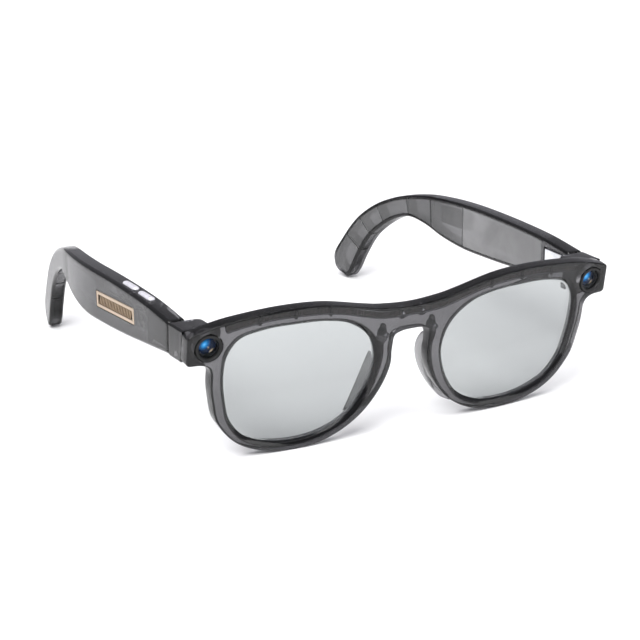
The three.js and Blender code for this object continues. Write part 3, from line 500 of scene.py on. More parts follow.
def carve(o, *cutters):
    """Takes the cutters out of a piece's mesh."""
    for c in cutters:
        mod = o.modifiers.new("cut", "BOOLEAN")
        mod.object, mod.solver, mod.operation = c, "EXACT", "DIFFERENCE"
        bpy.context.view_layer.update()
        made = bpy.data.meshes.new_from_object(
            o.evaluated_get(bpy.context.evaluated_depsgraph_get()))
        o.modifiers.clear()
        old, o.data = o.data, made
        bpy.data.meshes.remove(old)
        bpy.data.objects.remove(c)
    o.data.shade_smooth()
    o.data.set_sharp_from_angle(angle=math.radians(SHARP))


# ------------------------------------------------------------------ materials


class Finish:
    """A node material: a Principled shader whose colour, roughness and bump come from its nodes."""

    def __init__(self, name, **values):
        self.mat = bpy.data.materials.new(name)
        self.mat.use_nodes = True
        self.t = self.mat.node_tree
        self.shader = self.t.nodes["Principled BSDF"]
        for key, value in values.items():
            self.shader.inputs[key.replace("_", " ")].default_value = value
        self.where = self.t.nodes.new("ShaderNodeTexCoord").outputs["Object"]

    def link(self, a, b):
        self.t.links.new(a, b)

    def mapped(self, scale):
        n = self.t.nodes.new("ShaderNodeMapping")
        n.inputs["Scale"].default_value = scale
        self.link(self.where, n.inputs["Vector"])
        return n.outputs[0]

    def noise(self, scale, detail=3, rough=0.5, vector=None, warp=0.0):
        n = self.t.nodes.new("ShaderNodeTexNoise")
        n.inputs["Scale"].default_value = scale
        n.inputs["Detail"].default_value = detail
        n.inputs["Roughness"].default_value = rough
        n.inputs["Distortion"].default_value = warp
        self.link(vector or self.where, n.inputs["Vector"])
        return n.outputs["Fac"]

    def ramp(self, source, *stops):
        n = self.t.nodes.new("ShaderNodeValToRGB")
        e = n.color_ramp.elements
        while len(e) < len(stops):
            e.new(0.5)
        for k, (at, colour) in enumerate(stops):
            e[k].position = at
            e[k].color = (*colour, 1) if hasattr(colour, "__len__") else (colour,) * 3 + (1,)
        self.link(source, n.inputs[0])
        return n.outputs[0]

    def colour(self, source, *stops):
        self.link(self.ramp(source, *stops), self.shader.inputs["Base Color"])
        return self

    def rough(self, source, low, high):
        n = self.t.nodes.new("ShaderNodeMapRange")
        n.inputs["To Min"].default_value, n.inputs["To Max"].default_value = low, high
        self.link(source, n.inputs["Value"])
        self.link(n.outputs[0], self.shader.inputs["Roughness"])
        return self

    def bump(self, source, strength, distance):
        n = self.t.nodes.new("ShaderNodeBump")
        n.inputs["Strength"].default_value = strength
        n.inputs["Distance"].default_value = distance
        self.link(source, n.inputs["Height"])
        self.link(n.outputs[0], self.shader.inputs["Normal"])
        return self


def grey(v):
    return (v, v, v)


SMOKE_ABSORBS = (0.300, 0.295, 0.305, 1)
SMOKE_DENSITY = 460


def clear(name, low, high, density=0.0, rough=(0.02, 0.07), bump=0.06, through=1.0, ior=1.42):
    """Tinted see-through plastic: its surfaces tint once, and its thickness darkens it further."""
    f = Finish(name, Transmission_Weight=through, IOR=ior)
    f.colour(f.noise(70, 4, 0.6, warp=0.6), (0.3, low), (0.7, high))
    f.rough(f.noise(240, 3), *rough)
    f.bump(f.noise(420, 2), bump, 0.0002)
    if density:
        v = f.t.nodes.new("ShaderNodeVolumeAbsorption")
        v.inputs["Color"].default_value = SMOKE_ABSORBS
        v.inputs["Density"].default_value = density
        f.link(v.outputs[0], f.t.nodes["Material Output"].inputs["Volume"])
    return f.mat


SMOKE = clear("smoke_plastic", (0.46, 0.46, 0.475), (0.60, 0.60, 0.615), SMOKE_DENSITY)
TIP_SMOKE = clear("smoke_plastic_tip", (0.36, 0.36, 0.37), (0.48, 0.48, 0.49), 520, (0.12, 0.2),
                  ior=1.22)
# Painted shade: a dark copy of the smoke plastic on rounded edges, lips, bores and ribs, standing
# for the dark lines that refraction draws along the edges of clear plastic.
SMOKE_PAINTED_EDGE_SHADE = clear("smoke_plastic_painted_edge_shade", (0.09, 0.09, 0.095), (0.16, 0.16, 0.165), SMOKE_DENSITY,
                   (0.05, 0.12))
COVER = clear("panel_plastic", (0.28, 0.28, 0.283), (0.37, 0.37, 0.373), 0, (0.12, 0.15), 0.1,
              through=0.55)
TIP_PANEL = clear("tip_panel_plastic", (0.24, 0.24, 0.243), (0.35, 0.35, 0.353), 0, (0.05, 0.12),
                  through=0.8)
PAD = clear("nose_pad_silicone", (0.32, 0.32, 0.323), (0.44, 0.44, 0.443), 160, (0.12, 0.15), 0.1,
            ior=1.38)


def lens_glass():
    """Clear glass with a faint tint that is deepest across the middle of its height."""
    f = Finish("lens_glass", Transmission_Weight=1.0, IOR=1.5, Roughness=0.0)
    split = f.t.nodes.new("ShaderNodeSeparateXYZ")
    f.link(f.where, split.inputs[0])
    height = f.t.nodes.new("ShaderNodeMapRange")
    height.inputs["From Min"].default_value, height.inputs["From Max"].default_value = 0.004, 0.042
    f.link(split.outputs["Z"], height.inputs["Value"])
    f.colour(height.outputs[0], (0.0, (0.475, 0.495, 0.495)), (0.45, (0.40, 0.417, 0.417)),
             (1.0, (0.48, 0.50, 0.50)))
    f.bump(f.noise(30, 1), 0.01, 0.0001)
    return f.mat


def speckled(name, low, high, grain, gloss=None, wear=None, at=(0.3, 0.7), stretch=None, **values):
    """A finish of two close colours. A noise is its scale and detail: grain is the colours' noise,
    gloss a noise and the two ends of the roughness, wear a noise and the bump's strength and
    distance. A noise of scale 1 runs along stretch."""
    f = Finish(name, **values)
    along = f.mapped(stretch) if stretch else None
    noise = lambda spec: f.noise(*spec, vector=along if spec[0] == 1 else None)
    f.colour(noise(grain), (at[0], low), (at[1], high))
    if gloss:
        f.rough(noise(gloss[0]), *gloss[1:])
    if wear:
        f.bump(noise(wear[0]), *wear[1:])
    return f.mat


LENS = lens_glass()
LENS_EDGE = speckled("lens_ground_edge", (0.66, 0.70, 0.70), (0.82, 0.86, 0.86), (600, 2),
                     wear=((900, 2), 0.1, 0.0002), Transmission_Weight=0.6, Roughness=0.15, IOR=1.5)
STEEL = speckled("polished_steel", (0.62, 0.63, 0.65), (0.82, 0.83, 0.85), (1, 3),
                 ((1, 3), 0.14, 0.3), ((1, 2), 0.1, 0.0001), stretch=(40, 700, 700),
                 Metallic=1.0, Anisotropic=0.4)
BLACK = speckled("bezel_black", grey(0.008), grey(0.018), (700, 3), ((500, 3), 0.16, 0.32),
                 ((1500, 2), 0.1, 0.0001), Specular_IOR_Level=0.18)
BARREL = speckled("barrel_black", grey(0.004), grey(0.010), (900, 3), ((700, 3), 0.3, 0.5),
                  ((1500, 2), 0.1, 0.0001), Specular_IOR_Level=0.12)
MODULE = speckled("module_grey", grey(0.020), grey(0.045), (260, 4, 0.6), ((300, 3), 0.4, 0.6),
                  ((500, 3), 0.2, 0.0002), Specular_IOR_Level=0.3)
WINDOW = speckled("coated_window", (0.80, 0.88, 0.96), (0.88, 0.94, 1.0), (90, 1), at=(0.2, 0.8),
                  wear=((60, 1), 0.01, 0.0001), Transmission_Weight=1.0, Roughness=0.0, IOR=1.12)
AMBER = speckled("amber_ring", (0.45, 0.24, 0.08), (0.75, 0.5, 0.24), (400, 2),
                 wear=((900, 1), 0.05, 0.0001), Metallic=0.8, Roughness=0.25)
GOLD = speckled("gold_trim", (0.42, 0.33, 0.24), (0.54, 0.43, 0.33), (1, 3), ((1, 3), 0.25, 0.4),
                ((1, 2), 0.12, 0.0001), stretch=(900, 60, 900), Metallic=0.9)
BRONZE = speckled("bronze_mesh", (0.26, 0.18, 0.11), (0.38, 0.28, 0.18), (600, 3),
                  ((600, 3), 0.35, 0.55), ((1200, 2), 0.1, 0.0001), Metallic=0.7)
# Painted shade: a dark copy of the bronze for the sheet behind the grille's bars, standing for the
# shade in the gaps between them.
BRONZE_PAINTED_GAP_SHADE = speckled("bronze_painted_gap_shade", (0.018, 0.012, 0.008), (0.04, 0.027, 0.018), (600, 3),
                       ((600, 3), 0.5, 0.7), ((1200, 2), 0.1, 0.0001), Metallic=0.3)
SILVER = speckled("button_silver", (0.66, 0.65, 0.70), (0.82, 0.81, 0.86), (500, 3),
                  ((500, 3), 0.22, 0.36), ((1800, 2), 0.08, 0.0001),
                  Metallic=0.35, Coat_Weight=0.5, Coat_Roughness=0.1)
# Painted shade: a near-black sheet under each button, standing for the shade in the gap round its
# cap.
BUTTON_GAP_SHADE = speckled("painted_button_gap_shade", grey(0.004), grey(0.009), (500, 3), ((500, 3), 0.5, 0.7),
               ((1500, 2), 0.1, 0.0001))
FLEX = speckled("flex_cable", (0.10, 0.085, 0.07), (0.20, 0.17, 0.14), (1, 2),
                ((400, 2), 0.35, 0.5), ((1, 2), 0.2, 0.0001), at=(0.4, 0.6),
                stretch=(2600, 2600, 20), Metallic=0.2)
CELL = speckled("battery_wrap", (0.13, 0.135, 0.14), (0.24, 0.245, 0.25), (160, 4, 0.6),
                ((220, 4), 0.3, 0.5), ((500, 3), 0.3, 0.0002), Metallic=0.5)
SPEAKER = speckled("speaker_black", grey(0.012), grey(0.03), (400, 3), ((300, 2), 0.4, 0.6),
                   ((900, 2), 0.2, 0.0001))


def board():
    """A circuit board: pale blocks on a dark ground."""
    f = Finish("circuit_board")
    cells = f.t.nodes.new("ShaderNodeTexVoronoi")
    cells.inputs["Scale"].default_value = 520
    cells.distance = "CHEBYCHEV"
    f.link(f.where, cells.inputs["Vector"])
    f.colour(cells.outputs["Distance"], (0.25, (0.014, 0.022, 0.020)), (0.42, (0.05, 0.065, 0.06)),
             (0.60, (0.30, 0.29, 0.26)))
    f.rough(f.noise(300, 2), 0.35, 0.6).bump(cells.outputs["Distance"], 0.3, 0.0002)
    return f.mat


BOARD = board()


def coated():
    """The front element's coating: deep blue, with a painted cyan highlight on one side and a
    painted gold-orange reflection opposite, and two small painted highlights near the middle. The
    painted pattern lies in the lens's own coordinates, which its mesh carries."""
    f = Finish("coated_lens_painted_reflections", Roughness=0.12, Specular_IOR_Level=0.12, Coat_Weight=0.1,
               Coat_Roughness=0.02)
    across = 9  # the pattern does not change through the lens
    at = f.t.nodes.new("ShaderNodeAttribute")
    at.attribute_name = "own_place"
    f.where = at.outputs["Vector"]

    def spot(centre, scale, *stops):
        m = f.t.nodes.new("ShaderNodeMapping")
        m.vector_type = "TEXTURE"
        m.inputs["Location"].default_value = centre
        m.inputs["Rotation"].default_value = (0, math.radians(-45), 0)
        m.inputs["Scale"].default_value = scale
        f.link(f.where, m.inputs["Vector"])
        n = f.t.nodes.new("ShaderNodeVectorMath")
        n.operation = "LENGTH"
        f.link(m.outputs[0], n.inputs[0])
        return f.ramp(n.outputs["Value"], *stops)

    def plus(a, b):
        n = f.t.nodes.new("ShaderNodeMix")
        n.data_type, n.blend_type = "RGBA", "ADD"
        n.inputs["Factor"].default_value = 1
        f.link(a, n.inputs["A"])
        f.link(b, n.inputs["B"])
        return n.outputs["Result"]

    deep = f.ramp(f.noise(1.6, 2), (0.3, (0.001, 0.003, 0.012)), (0.7, (0.002, 0.010, 0.035)))
    # Painted reflections of the lamps on the coating, fixed in the lens's own coordinates.
    painted_cyan_highlight = spot((-1.0, 0, 0.9), (2.3, across, 1.5), (0.0, (0.34, 0.95, 1.0)),
                 (0.28, (0.04, 0.42, 0.85)), (0.6, (0.0, 0.10, 0.28)), (1.0, 0.0))
    painted_amber_reflection = spot((1.2, 0, -1.3), (1.05, across, 0.42), (0.0, (0.95, 0.72, 0.42)),
                 (0.6, (0.35, 0.22, 0.10)), (1.0, 0.0))
    painted_glint = spot((0.2, 0, -0.15), (0.32, across, 0.22), (0.0, (1.0, 0.75, 0.35)),
                 (0.5, (0.5, 0.28, 0.08)), (1.0, 0.0))
    # A small pale painted highlight near the middle.
    pale = spot((-0.15, 0, 0.15), (0.17, across, 0.17), (0.0, (0.6, 0.95, 0.95)), (1.0, 0.0))
    f.link(plus(plus(plus(deep, painted_cyan_highlight), painted_amber_reflection), plus(painted_glint, pale)), f.shader.inputs["Base Color"])
    f.bump(f.noise(0.4, 1), 0.02, 0.0001)
    return f.mat


COATED_PAINTED_REFLECTIONS = coated()

INNER = {
    "brow_flex": FLEX, "camera_sensor_left": BOARD, "camera_sensor_right": BOARD,
    "battery_left": CELL, "battery_right": CELL, "side_board_left": BOARD,
    "main_board_right": BOARD, "switch_board": BOARD, "speaker_left": SPEAKER,
    "speaker_right": SPEAKER, "button_switch_front": SPEAKER, "button_switch_rear": SPEAKER,
}
for node, material in INNER.items():
    mesh = frame["nodes"][node].data
    mesh.materials.clear()
    mesh.materials.append(material)

# ------------------------------------------------------------------ front

OPENING = lens_opening()


def leaned(x, y, z):
    """From the upright front, bent round the face, to the level frame."""
    return TILTED @ Vector((x, y + WRAP * x * x, z))


def front_frame():
    half = half_outline()
    outline = np.vstack([half, (half[1:-1] * [-1, 1])[::-1]])
    outline = respaced(ccw(outline), 0.7, closed=True)
    through = OPENING - outward(OPENING) * 1.0
    # Bands marked 1 in these profiles take the painted dark edge shade.
    sight = ([(1.45, 0, 1), (1.2, 0.03, 1), (1.0, 0.16, 1), (0.0, 1.3, 0)]
             + [(i, THICK - d, 1) for i, d in rounding(0.35, 3)][::-1])
    bore = circle(CAM_X, CAM_Z, 4.25, 60)
    lean = 2 * WRAP * CAM_X
    bore_profile = [(0.2, 0, 1), (0.06, 0.06, 1), (0, 0.2, 1), (0, THICK - 0.2, 1), (0.2, THICK, 1)]
    flip = lambda loop: ccw(loop * [-1, 1])
    holes = [(through, sight), (flip(through), sight),
             (bore, bore_profile, -lean), (flip(bore), bore_profile, lean)]
    peg = circle(PAD_X, 0, 0.95, 20)
    pockets = [(channel_outline(1.15, 1.9), 1.9), (peg, 1.2), (flip(peg), 1.2)]
    s = plate(outline, wall_profile(0, THICK, 0.5, 0.25), holes, pockets)
    return s


finish_piece("frame_front", front_frame().mapped(leaned), [SMOKE, SMOKE_PAINTED_EDGE_SHADE], "front",
             "smoke_shell", ["front_frame"], fix=False)

cover = plate(channel_outline(1.0, 1.75), wall_profile(THICK - 1, THICK - 0.02, 0.1, 0.2, 2),
              grid=1.2)
finish_piece("frame_brow_cover", cover.mapped(leaned), [SMOKE, SMOKE_PAINTED_EDGE_SHADE], "front",
             "smoke_cover", ["brow_cover"])


def brow_rib(x, half=0.35, reach=1.5):
    """A thin moulded rib that stands across the brow channel."""
    line = channel_line()
    z = float(np.interp(x, line[:, 0], line[:, 1]))
    c = np.array([[x - half, z - reach], [x + half, z - reach], [x + half, z + reach],
                  [x - half, z + reach]])
    return plate(respaced(ccw(c), 0.5, closed=True), wall_profile(1.2, 2.9, 0.1, 0.1, 1), grid=0.8)


ribs = Solid()
for x in (27.7, 50.2, 38.9):
    for side in (1, -1):
        ribs.add(brow_rib(x * side))
# The ribs take the painted dark edge shade all over.
finish_piece("frame_brow_ribs", ribs.mapped(leaned), [SMOKE_PAINTED_EDGE_SHADE, SMOKE_PAINTED_EDGE_SHADE], "front",
             "smoke_shell")

LENS_DOME = 0.45


def lens_piece():
    """A lens: domed faces on rings about its middle, and a ground edge."""
    edge = OPENING - outward(OPENING) * 0.42
    mid = edge.mean(0)
    s = Solid()
    rows = {0: [], 1: []}
    shares = [0.12, 0.25, 0.4, 0.55, 0.7, 0.84, 0.94, 0.985, 1.0]
    for side, face_y in ((0, 1.45), (1, 3.45)):
        centre = s.points([(mid[0], face_y - LENS_DOME, mid[1])])
        for q in shares:
            p = mid + (edge - mid) * q
            bevel = 0.25 if q == 1.0 else 0.0
            y = face_y - LENS_DOME * (1 - q * q) + (bevel if side == 0 else -bevel)
            rows[side].append(s.points(np.stack([p[:, 0], np.full(len(p), y), p[:, 1]], 1)))
        first = rows[side][0]
        for i in range(len(first)):
            s.face((centre[0], first[i], first[(i + 1) % len(first)]))
        for k, (a, b) in enumerate(zip(rows[side], rows[side][1:])):
            s.band(a, b, 1 if k >= len(shares) - 2 else 0)
    s.band(rows[0][-1], rows[1][-1], 1)
    return s


def pair(make, name, mats, body, slot, nodes, where=None, **kw):
    """The left piece and its mirror image; {side} in the names is filled in."""
    out = {}
    for side in ("left", "right"):
        s = make()
        if side == "right":
            s = s.mirrored()
        if where:
            s.mapped(where)
        names = [n.format(side=side) for n in nodes]
        out[side] = finish_piece(name.format(side=side), s, mats, body.format(side=side), slot,
                                 names, **kw)
    return out


pair(lens_piece, "lens_glass_{side}", [LENS, LENS_EDGE], "front", "lens_clear", ["lens_{side}"],
     where=leaned)

# ------------------------------------------------------------------ nose pads


def nose_pad():
    """A pad from its screw down the inner side of the rim, swelling to a fin."""
    opening = lens_opening(0.5)
    line = opening + outward(opening) * (RIM_NOSE / 2)
    line = line[(line[:, 0] < LENS_IN + 0.17 * LENS_W) & (line[:, 1] < -3.5)]
    line = line[np.argsort(-line[:, 1])]
    pts = [(PAD_X, z) for z in (2.6, 1.2, -0.4, -1.8)] + [tuple(p) for p in line[::3]]
    line = respaced(spline(pts, steps=6), 0.6)
    n = len(line)
    d = np.gradient(line, axis=0)
    d /= np.linalg.norm(d, axis=1)[:, None]
    across = np.stack([-d[:, 1], d[:, 0]], 1)
    sections = []
    around, squareness = 20, 0.55
    for i, (p, a) in enumerate(zip(line, across)):
        s = i / (n - 1)
        below = max(-1.8 - p[1], 0)
        fin = np.clip((s - 0.18) / 0.82, 0, 1)
        depth = 1.5 + 5.1 * math.sin(math.pi * fin**0.8) ** 0.8 * (1 if fin > 0 else 0)
        half = (1.8 - 0.6 * min(below / 2, 1)) * min(1, 0.35 + 6 * s, 0.35 + 6 * (1 - s))
        loop = []
        for t in np.arange(around) * 2 * math.pi / around:
            cs, sn = math.cos(t), math.sin(t)
            u = half * math.copysign(abs(cs) ** squareness, cs)
            w = depth / 2 * (1 + math.copysign(abs(sn) ** squareness, sn))
            loop.append((p[0] + a[0] * u, THICK + 0.05 + w, p[1] + a[1] * u))
        sections.append(loop)
    return loft(sections)


pair(nose_pad, "nose_pad_fin_{side}", [PAD], "front", "nose_pad", ["nose_pad_{side}"], where=leaned,
     sharp=60)

# ------------------------------------------------------------------ screws


def screw_head(radius, height, shaft, length):
    """A screw along -y, its recessed head facing +y with its seat at y = 0."""
    return lathe([(0, -length), (shaft * 0.8, -length), (shaft, -length + 0.15), (shaft, 0),
                  (radius, 0), (radius, height * 0.6), (radius * 0.86, height),
                  (radius * 0.5, height * 1.02), (radius * 0.5, height * 0.45), (0, height * 0.4)],
                 32)


def place(solid, matrix):
    return Solid().add(solid, matrix)


def at(x, y, z):
    return Matrix.Translation((x, y, z))


def turn(axis):
    """Turns +y to an axis."""
    return Vector((0, 1, 0)).rotation_difference(Vector(axis)).to_matrix().to_4x4()


for side, sign in (("right", -1), ("left", 1)):
    s = place(screw_head(1.1, 0.45, 0.42, 3.0),
              at(sign * BRIDGE_SCREW_X, THICK + 0.2, LENS_TOP - 2.8))
    finish_piece(f"bridge_screw_head_{side}", s.mapped(leaned), [STEEL], "front", "steel",
                 [f"bridge_screw_{side}"])
    s = place(screw_head(1.3, 0.5, 0.7, 3.6), at(sign * PAD_X, THICK + 1.45, 0))
    finish_piece(f"pad_screw_head_{side}", s.mapped(leaned), [STEEL], "front", "steel",
                 [f"nose_pad_screw_{side}"])
    s = place(screw_head(0.7, 0.12, 0.38, 2.4),
              at(sign * (EDGE_X - TEMPLE_W + 0.25), 64.5, -5) @ turn((-sign, 0, 0)))
    finish_piece(f"cover_screw_{side}", s, [COVER], f"temple_{side}", "steel",
                 [f"temple_screw_{side}"])
    s = place(screw_head(1.15, 0.35, 0.6, 7.2),
              at(sign * HINGE[0], HINGE[1], -0.45) @ turn((0, 0, 1)))
    finish_piece(f"hinge_screw_head_{side}", s, [STEEL], "front", "steel", [f"hinge_screw_{side}"])

# ------------------------------------------------------------------ cameras

AROUND = 72
CAMERA_TURN = math.atan(2 * WRAP * CAM_X)  # the front's bend turns the camera outward
AT_CAMERA = TILTED @ at(CAM_X, WRAP * CAM_X**2, CAM_Z) @ Matrix.Rotation(CAMERA_TURN, 4, "Z")


def camera_pair(name, profile, materials, slot, nodes, mats=None):
    s = place(lathe(profile, AROUND, mats), AT_CAMERA)
    pair(lambda: s, name, materials, "front", slot, nodes, sharp=30)


camera_pair("camera_ring_{side}", [
    (3.2, 2.2), (4.1, 2.2), (4.1, -0.12), (4.02, -0.28), (3.88, -0.34), (3.6, -0.34), (3.52, -0.3),
    (3.44, -0.16), (3.32, -0.14), (3.26, -0.1), (3.2, 0.05), (3.2, 1.0), (3.2, 2.2)],
    [BLACK], "camera_black", ["camera_bezel_{side}"])
camera_pair("camera_baffle_{side}", [
    (2.9, 6), (2.9, 1.0), (3.15, 0.95), (3.15, 0.8), (2.95, 0.72), (2.85, 0.8), (2.75, 0.85),
    (2.68, 1.2), (2.6, 1.25), (2.55, 1.75), (2.3, 1.8), (2.1, 2.2), (1.9, 2.3), (1.9, 3.9),
    (0, 3.9)],
    [BARREL, AMBER], "camera_black", ["camera_barrel_{side}"],
    mats=[0] * 9 + [1, 0, 0, 0, 0])
dome = [(r, 1.0 + 1.2 * (1 - math.sqrt(1 - (r / 3.0) ** 2))) for r in np.linspace(0, 2.5, 16)]
element = lathe(dome + [(2.5, 2.2), (0, 2.2)], AROUND)
# Each element's mesh carries its own coordinates for the coating's painted highlights.
for side, sign in (("left", 1), ("right", -1)):
    own = [(x, y, z) for x, y, z in element.v]
    s = place(element, AT_CAMERA)
    if side == "right":
        s = s.mirrored()
        own = [(-x, y, z) for x, y, z in own]
    finish_piece(f"camera_front_element_{side}", s, [COATED_PAINTED_REFLECTIONS], "front", "camera_glass",
                 [f"camera_lens_{side}"], own=own)
carrier_wall = wall_profile(THICK + 0.06, THICK + 0.26, 0.05, 0.05, 1)
carrier = plate(
    ccw(corners([(EDGE_X - 2.2, 7.3), (62.4, 8.6), (62.4, 1.8), (EDGE_X - 2.2, 1.8)], 1.2, 4)),
    carrier_wall, holes=[(circle(CAM_X - 0.3, CAM_Z, 4.3, 40), carrier_wall)], grid=2)
pair(lambda: Solid().add(carrier), "camera_carrier_{side}", [MODULE, MODULE], "front",
     "camera_black", [], where=leaned)
glass = [(r, 0.02 + 0.22 * (r / 3.15) ** 2) for r in np.linspace(0, 3.05, 12)]
camera_pair("camera_glass_{side}", glass + [(3.15, 0.3), (3.15, 0.62), (0, 0.62)], [WINDOW],
            "camera_glass", ["camera_window_{side}"])

# ------------------------------------------------------------------ housings


HOUSING_REAR = 15


def housing_plan():
    inner, corner, sweep = EDGE_X - 10.2, 0.8, 3.2
    plan = np.vstack([[[EDGE_X, 0.0]],
                      arc(EDGE_X - corner, HOUSING_REAR - corner, corner, 0, 90, 5),
                      arc(inner + sweep, HOUSING_REAR - sweep, sweep, 90, 180, 12),
                      [[inner, 0.0]]])
    return respaced(ccw(plan), 0.6, closed=True)


def slab_rear(x, z):
    """Depth of the leaned front's rear face at a height of the level frame."""
    rear = THICK + 0.04 + WRAP * x * x
    up = (z + DROP - rear * math.sin(TILT)) / math.cos(TILT)
    return rear * math.cos(TILT) - up * math.sin(TILT)


def housing():
    """The block behind an end piece; its plan lies in x and y, and its profile runs down."""
    s = plate(housing_plan(), wall_profile(-0.9, 8.9, 0.7, 0.6), grid=2)
    s.mapped(lambda x, y, z: (x, z, -y))

    def fit(x, y, z):
        start = slab_rear(x, z)
        if y < HOUSING_REAR:
            y = start + y / HOUSING_REAR * (HOUSING_REAR - start)
        return (x, y, z)

    return s.mapped(fit)


def hinge_swing():
    """The room that the hinge's knuckles turn in."""
    s = place(lathe([(0, -9.0), (1.85, -9.0), (1.85, 0.1), (0, 0.1)], 40), turn((0, 0, 1)))
    return place(s, at(HINGE[0], HINGE[1], 0))


housings = pair(housing, "end_housing_shell_{side}", [SMOKE, SMOKE_PAINTED_EDGE_SHADE], "front", "smoke_shell",
                ["end_housing_{side}"])
for side, o in housings.items():
    s = hinge_swing()
    carve(o, cutter(s if side == "left" else s.mirrored()))


def inner_box(x0, x1, y0, y1, z0, z1, r=0.4):
    """A small block with rounded edges; its plan lies in x and y."""
    plan = corners([(x1 - r, y1 - r), (x0 + r, y1 - r), (x0 + r, y0 + r), (x1 - r, y0 + r)], r)
    s = plate(plan, wall_profile(-z1, -z0, r * 0.6, r * 0.6, 2), grid=3)
    return s.mapped(lambda x, y, z: (x, z, -y))


# ------------------------------------------------------------------ hinges


def knuckle(z0, z1):
    """A ring about the hinge's screw."""
    s = lathe([(0.72, z0), (1.35, z0), (1.5, z0 + 0.15), (1.5, z1 - 0.15), (1.35, z1), (0.72, z1)],
              40, closed=True)
    return place(s, at(HINGE[0], HINGE[1], 0) @ Matrix.Rotation(math.pi / 2, 4, "X"))


KNUCKLE, KNUCKLE_GAP, HINGE_TOP = 2.2, 0.3, -0.6
SPANS = [(HINGE_TOP - (3 - i) * KNUCKLE - (2 - i) * KNUCKLE_GAP,
          HINGE_TOP - (2 - i) * KNUCKLE - (2 - i) * KNUCKLE_GAP) for i in range(3)]
INNER_X = EDGE_X - TEMPLE_W  # the left temple's inner face


def rear_leaf():
    """The temple's leaf, with the upper and lower knuckles."""
    s = inner_box(INNER_X + 0.1, INNER_X + 1.3, 17.2, 27.9, SPANS[0][0], SPANS[2][1], 0.3)
    for z0, z1 in SPANS[::2]:
        s.add(knuckle(z0, z1))
        s.add(inner_box(HINGE[0] - 0.2, INNER_X + 1.3, HINGE[1] + 0.9, 18.2, z0 + 0.05, z1 - 0.05,
                        0.2))
    return s


def front_leaf():
    """The front's block, with the middle knuckle."""
    z0, z1 = SPANS[1]
    s = knuckle(z0, z1)
    s.add(inner_box(HINGE[0] - 0.6, HINGE[0] + 0.6, 13.4, 15.2, z0 + 0.1, z1 - 0.1, 0.2))
    return s


pair(rear_leaf, "hinge_leaf_{side}", [STEEL], "temple_{side}", "steel",
     ["hinge_rear_leaf_{side}"])
pair(front_leaf, "hinge_block_{side}", [STEEL], "front", "steel", ["hinge_front_leaf_{side}"])

# ------------------------------------------------------------------ temples

LAST = len(RIBS) - 1
STEPS = 40
TOP_EDGE = spline(RIBS[:, :2], steps=STEPS)
LOW_EDGE = spline(RIBS[:, 2:], steps=STEPS)


def edge_at(curve, t):
    """The point of an edge at a place along the temple, 0 to 1."""
    u = t * LAST * STEPS
    i = min(int(u), len(curve) - 2)
    return curve[i] + (curve[i + 1] - curve[i]) * (u - i)


def place_at(y):
    """The place along the temple where its top edge reaches a depth."""
    low, high = 0.0, 0.93
    for _ in range(30):
        mid = (low + high) / 2
        low, high = (mid, high) if edge_at(TOP_EDGE, mid)[0] < y else (low, mid)
    return low


def outer_x(y):
    """The outer face: flat, then bent inward, then straight again."""
    bent = max(min(y, BEND_END) - FLAT_LENGTH, 0)
    return EDGE_X - INWARD * (bent ** 2 / (2 * (BEND_END - FLAT_LENGTH)) + max(y - BEND_END, 0))


TIP_START = place_at(FLAT_LENGTH)
EAR = place_at(EAR_Y)


def width_at(t):
    return TEMPLE_W + (TIP_W - TEMPLE_W) * max(t - TIP_START, 0) / (1 - TIP_START)


def slice_at(t):
    """The temple's height and width at a place, and its point at a depth from the outer face and a
    height above the lower edge."""
    low, high = edge_at(LOW_EDGE, t), edge_at(TOP_EDGE, t)
    span = float(np.linalg.norm(high - low))

    def point(d, v):
        p = low + (high - low) * (v / span)
        return (outer_x(p[0]) - d, p[0], p[1])

    return span, width_at(t), point


OUTER_ROUND, INNER_ROUND = 1.15, 0.8
SKIN = 0.03  # how far a panel lies under the lips of its pocket


def section(t, pocket, shrink=0.0):
    """Loop across the temple: rounded outside, with a pocket of a depth open towards the head."""
    span, w, point = slice_at(t)
    r = OUTER_ROUND
    pts = []
    for cz, a in ((r, 270), (span - r, 180)):
        pts += [tuple(p) for p in arc(r, cz, r, a, a - 90, 5)]
        if a == 270:
            pts += [(0, r + (span - 2 * r) * k) for k in (0.06, 0.3, 0.7, 0.94)]
    r = INNER_ROUND
    pts += [(w / 2 - 0.4, span)] + [tuple(p) for p in arc(w - r, span - r, r, 90, 0, 4)]
    pts += [(w, span - WALL), (pocket, span - WALL), (pocket, span / 2), (pocket, WALL), (w, WALL)]
    pts += [tuple(p) for p in arc(w - r, r, r, 0, -90, 4)] + [(w / 2 - 0.4, 0)]
    if shrink:
        k, kz = 1 - 2 * shrink / w, 1 - 2 * shrink / span
        pts = [(w / 2 + (d - w / 2) * k, span / 2 + (v - span / 2) * kz) for d, v in pts]
    return [point(d, v) for d, v in pts]


# First material for the faces, second, the painted dark edge shade, for the rounded edges and the
# pocket's lips
SECTION_MATS = ([1] * 5 + [0] * 5 + [1] * 5 + [0, 0] + [1] * 4 + [0, 1, 0, 0, 1, 0] + [1] * 4
                + [0, 0])


def shell_solid():
    """A temple's shell, solid to the pocket and rounded where it meets the end housing."""
    start = place_at(POCKET_Y)
    closed = lambda t: width_at(t) - SKIN
    rounded = ((0.0, 0.45), (0.0007, 0.2), (0.002, 0.06), (0.004, 0))
    stations = [(t, closed(0), s) for t, s in rounded]
    stations += [(t, closed(t), 0) for t in np.linspace(0.01, start, 12)]
    stations += [(t, WALL, 0) for t in np.linspace(start + 0.0002, EAR, 64)]
    return loft([section(t, p, shrink=s) for t, p, s in stations], SECTION_MATS)


TIP_RIBS = (104, 118.5, 127, 133.5)  # y
TIP_SEAT = 0.9  # depth of the recess that the ear tip's panels sit in
TIP_MARKS = [place_at(EAR_Y + 0.15)] + [place_at(y) for y in TIP_RIBS] + [0.965]


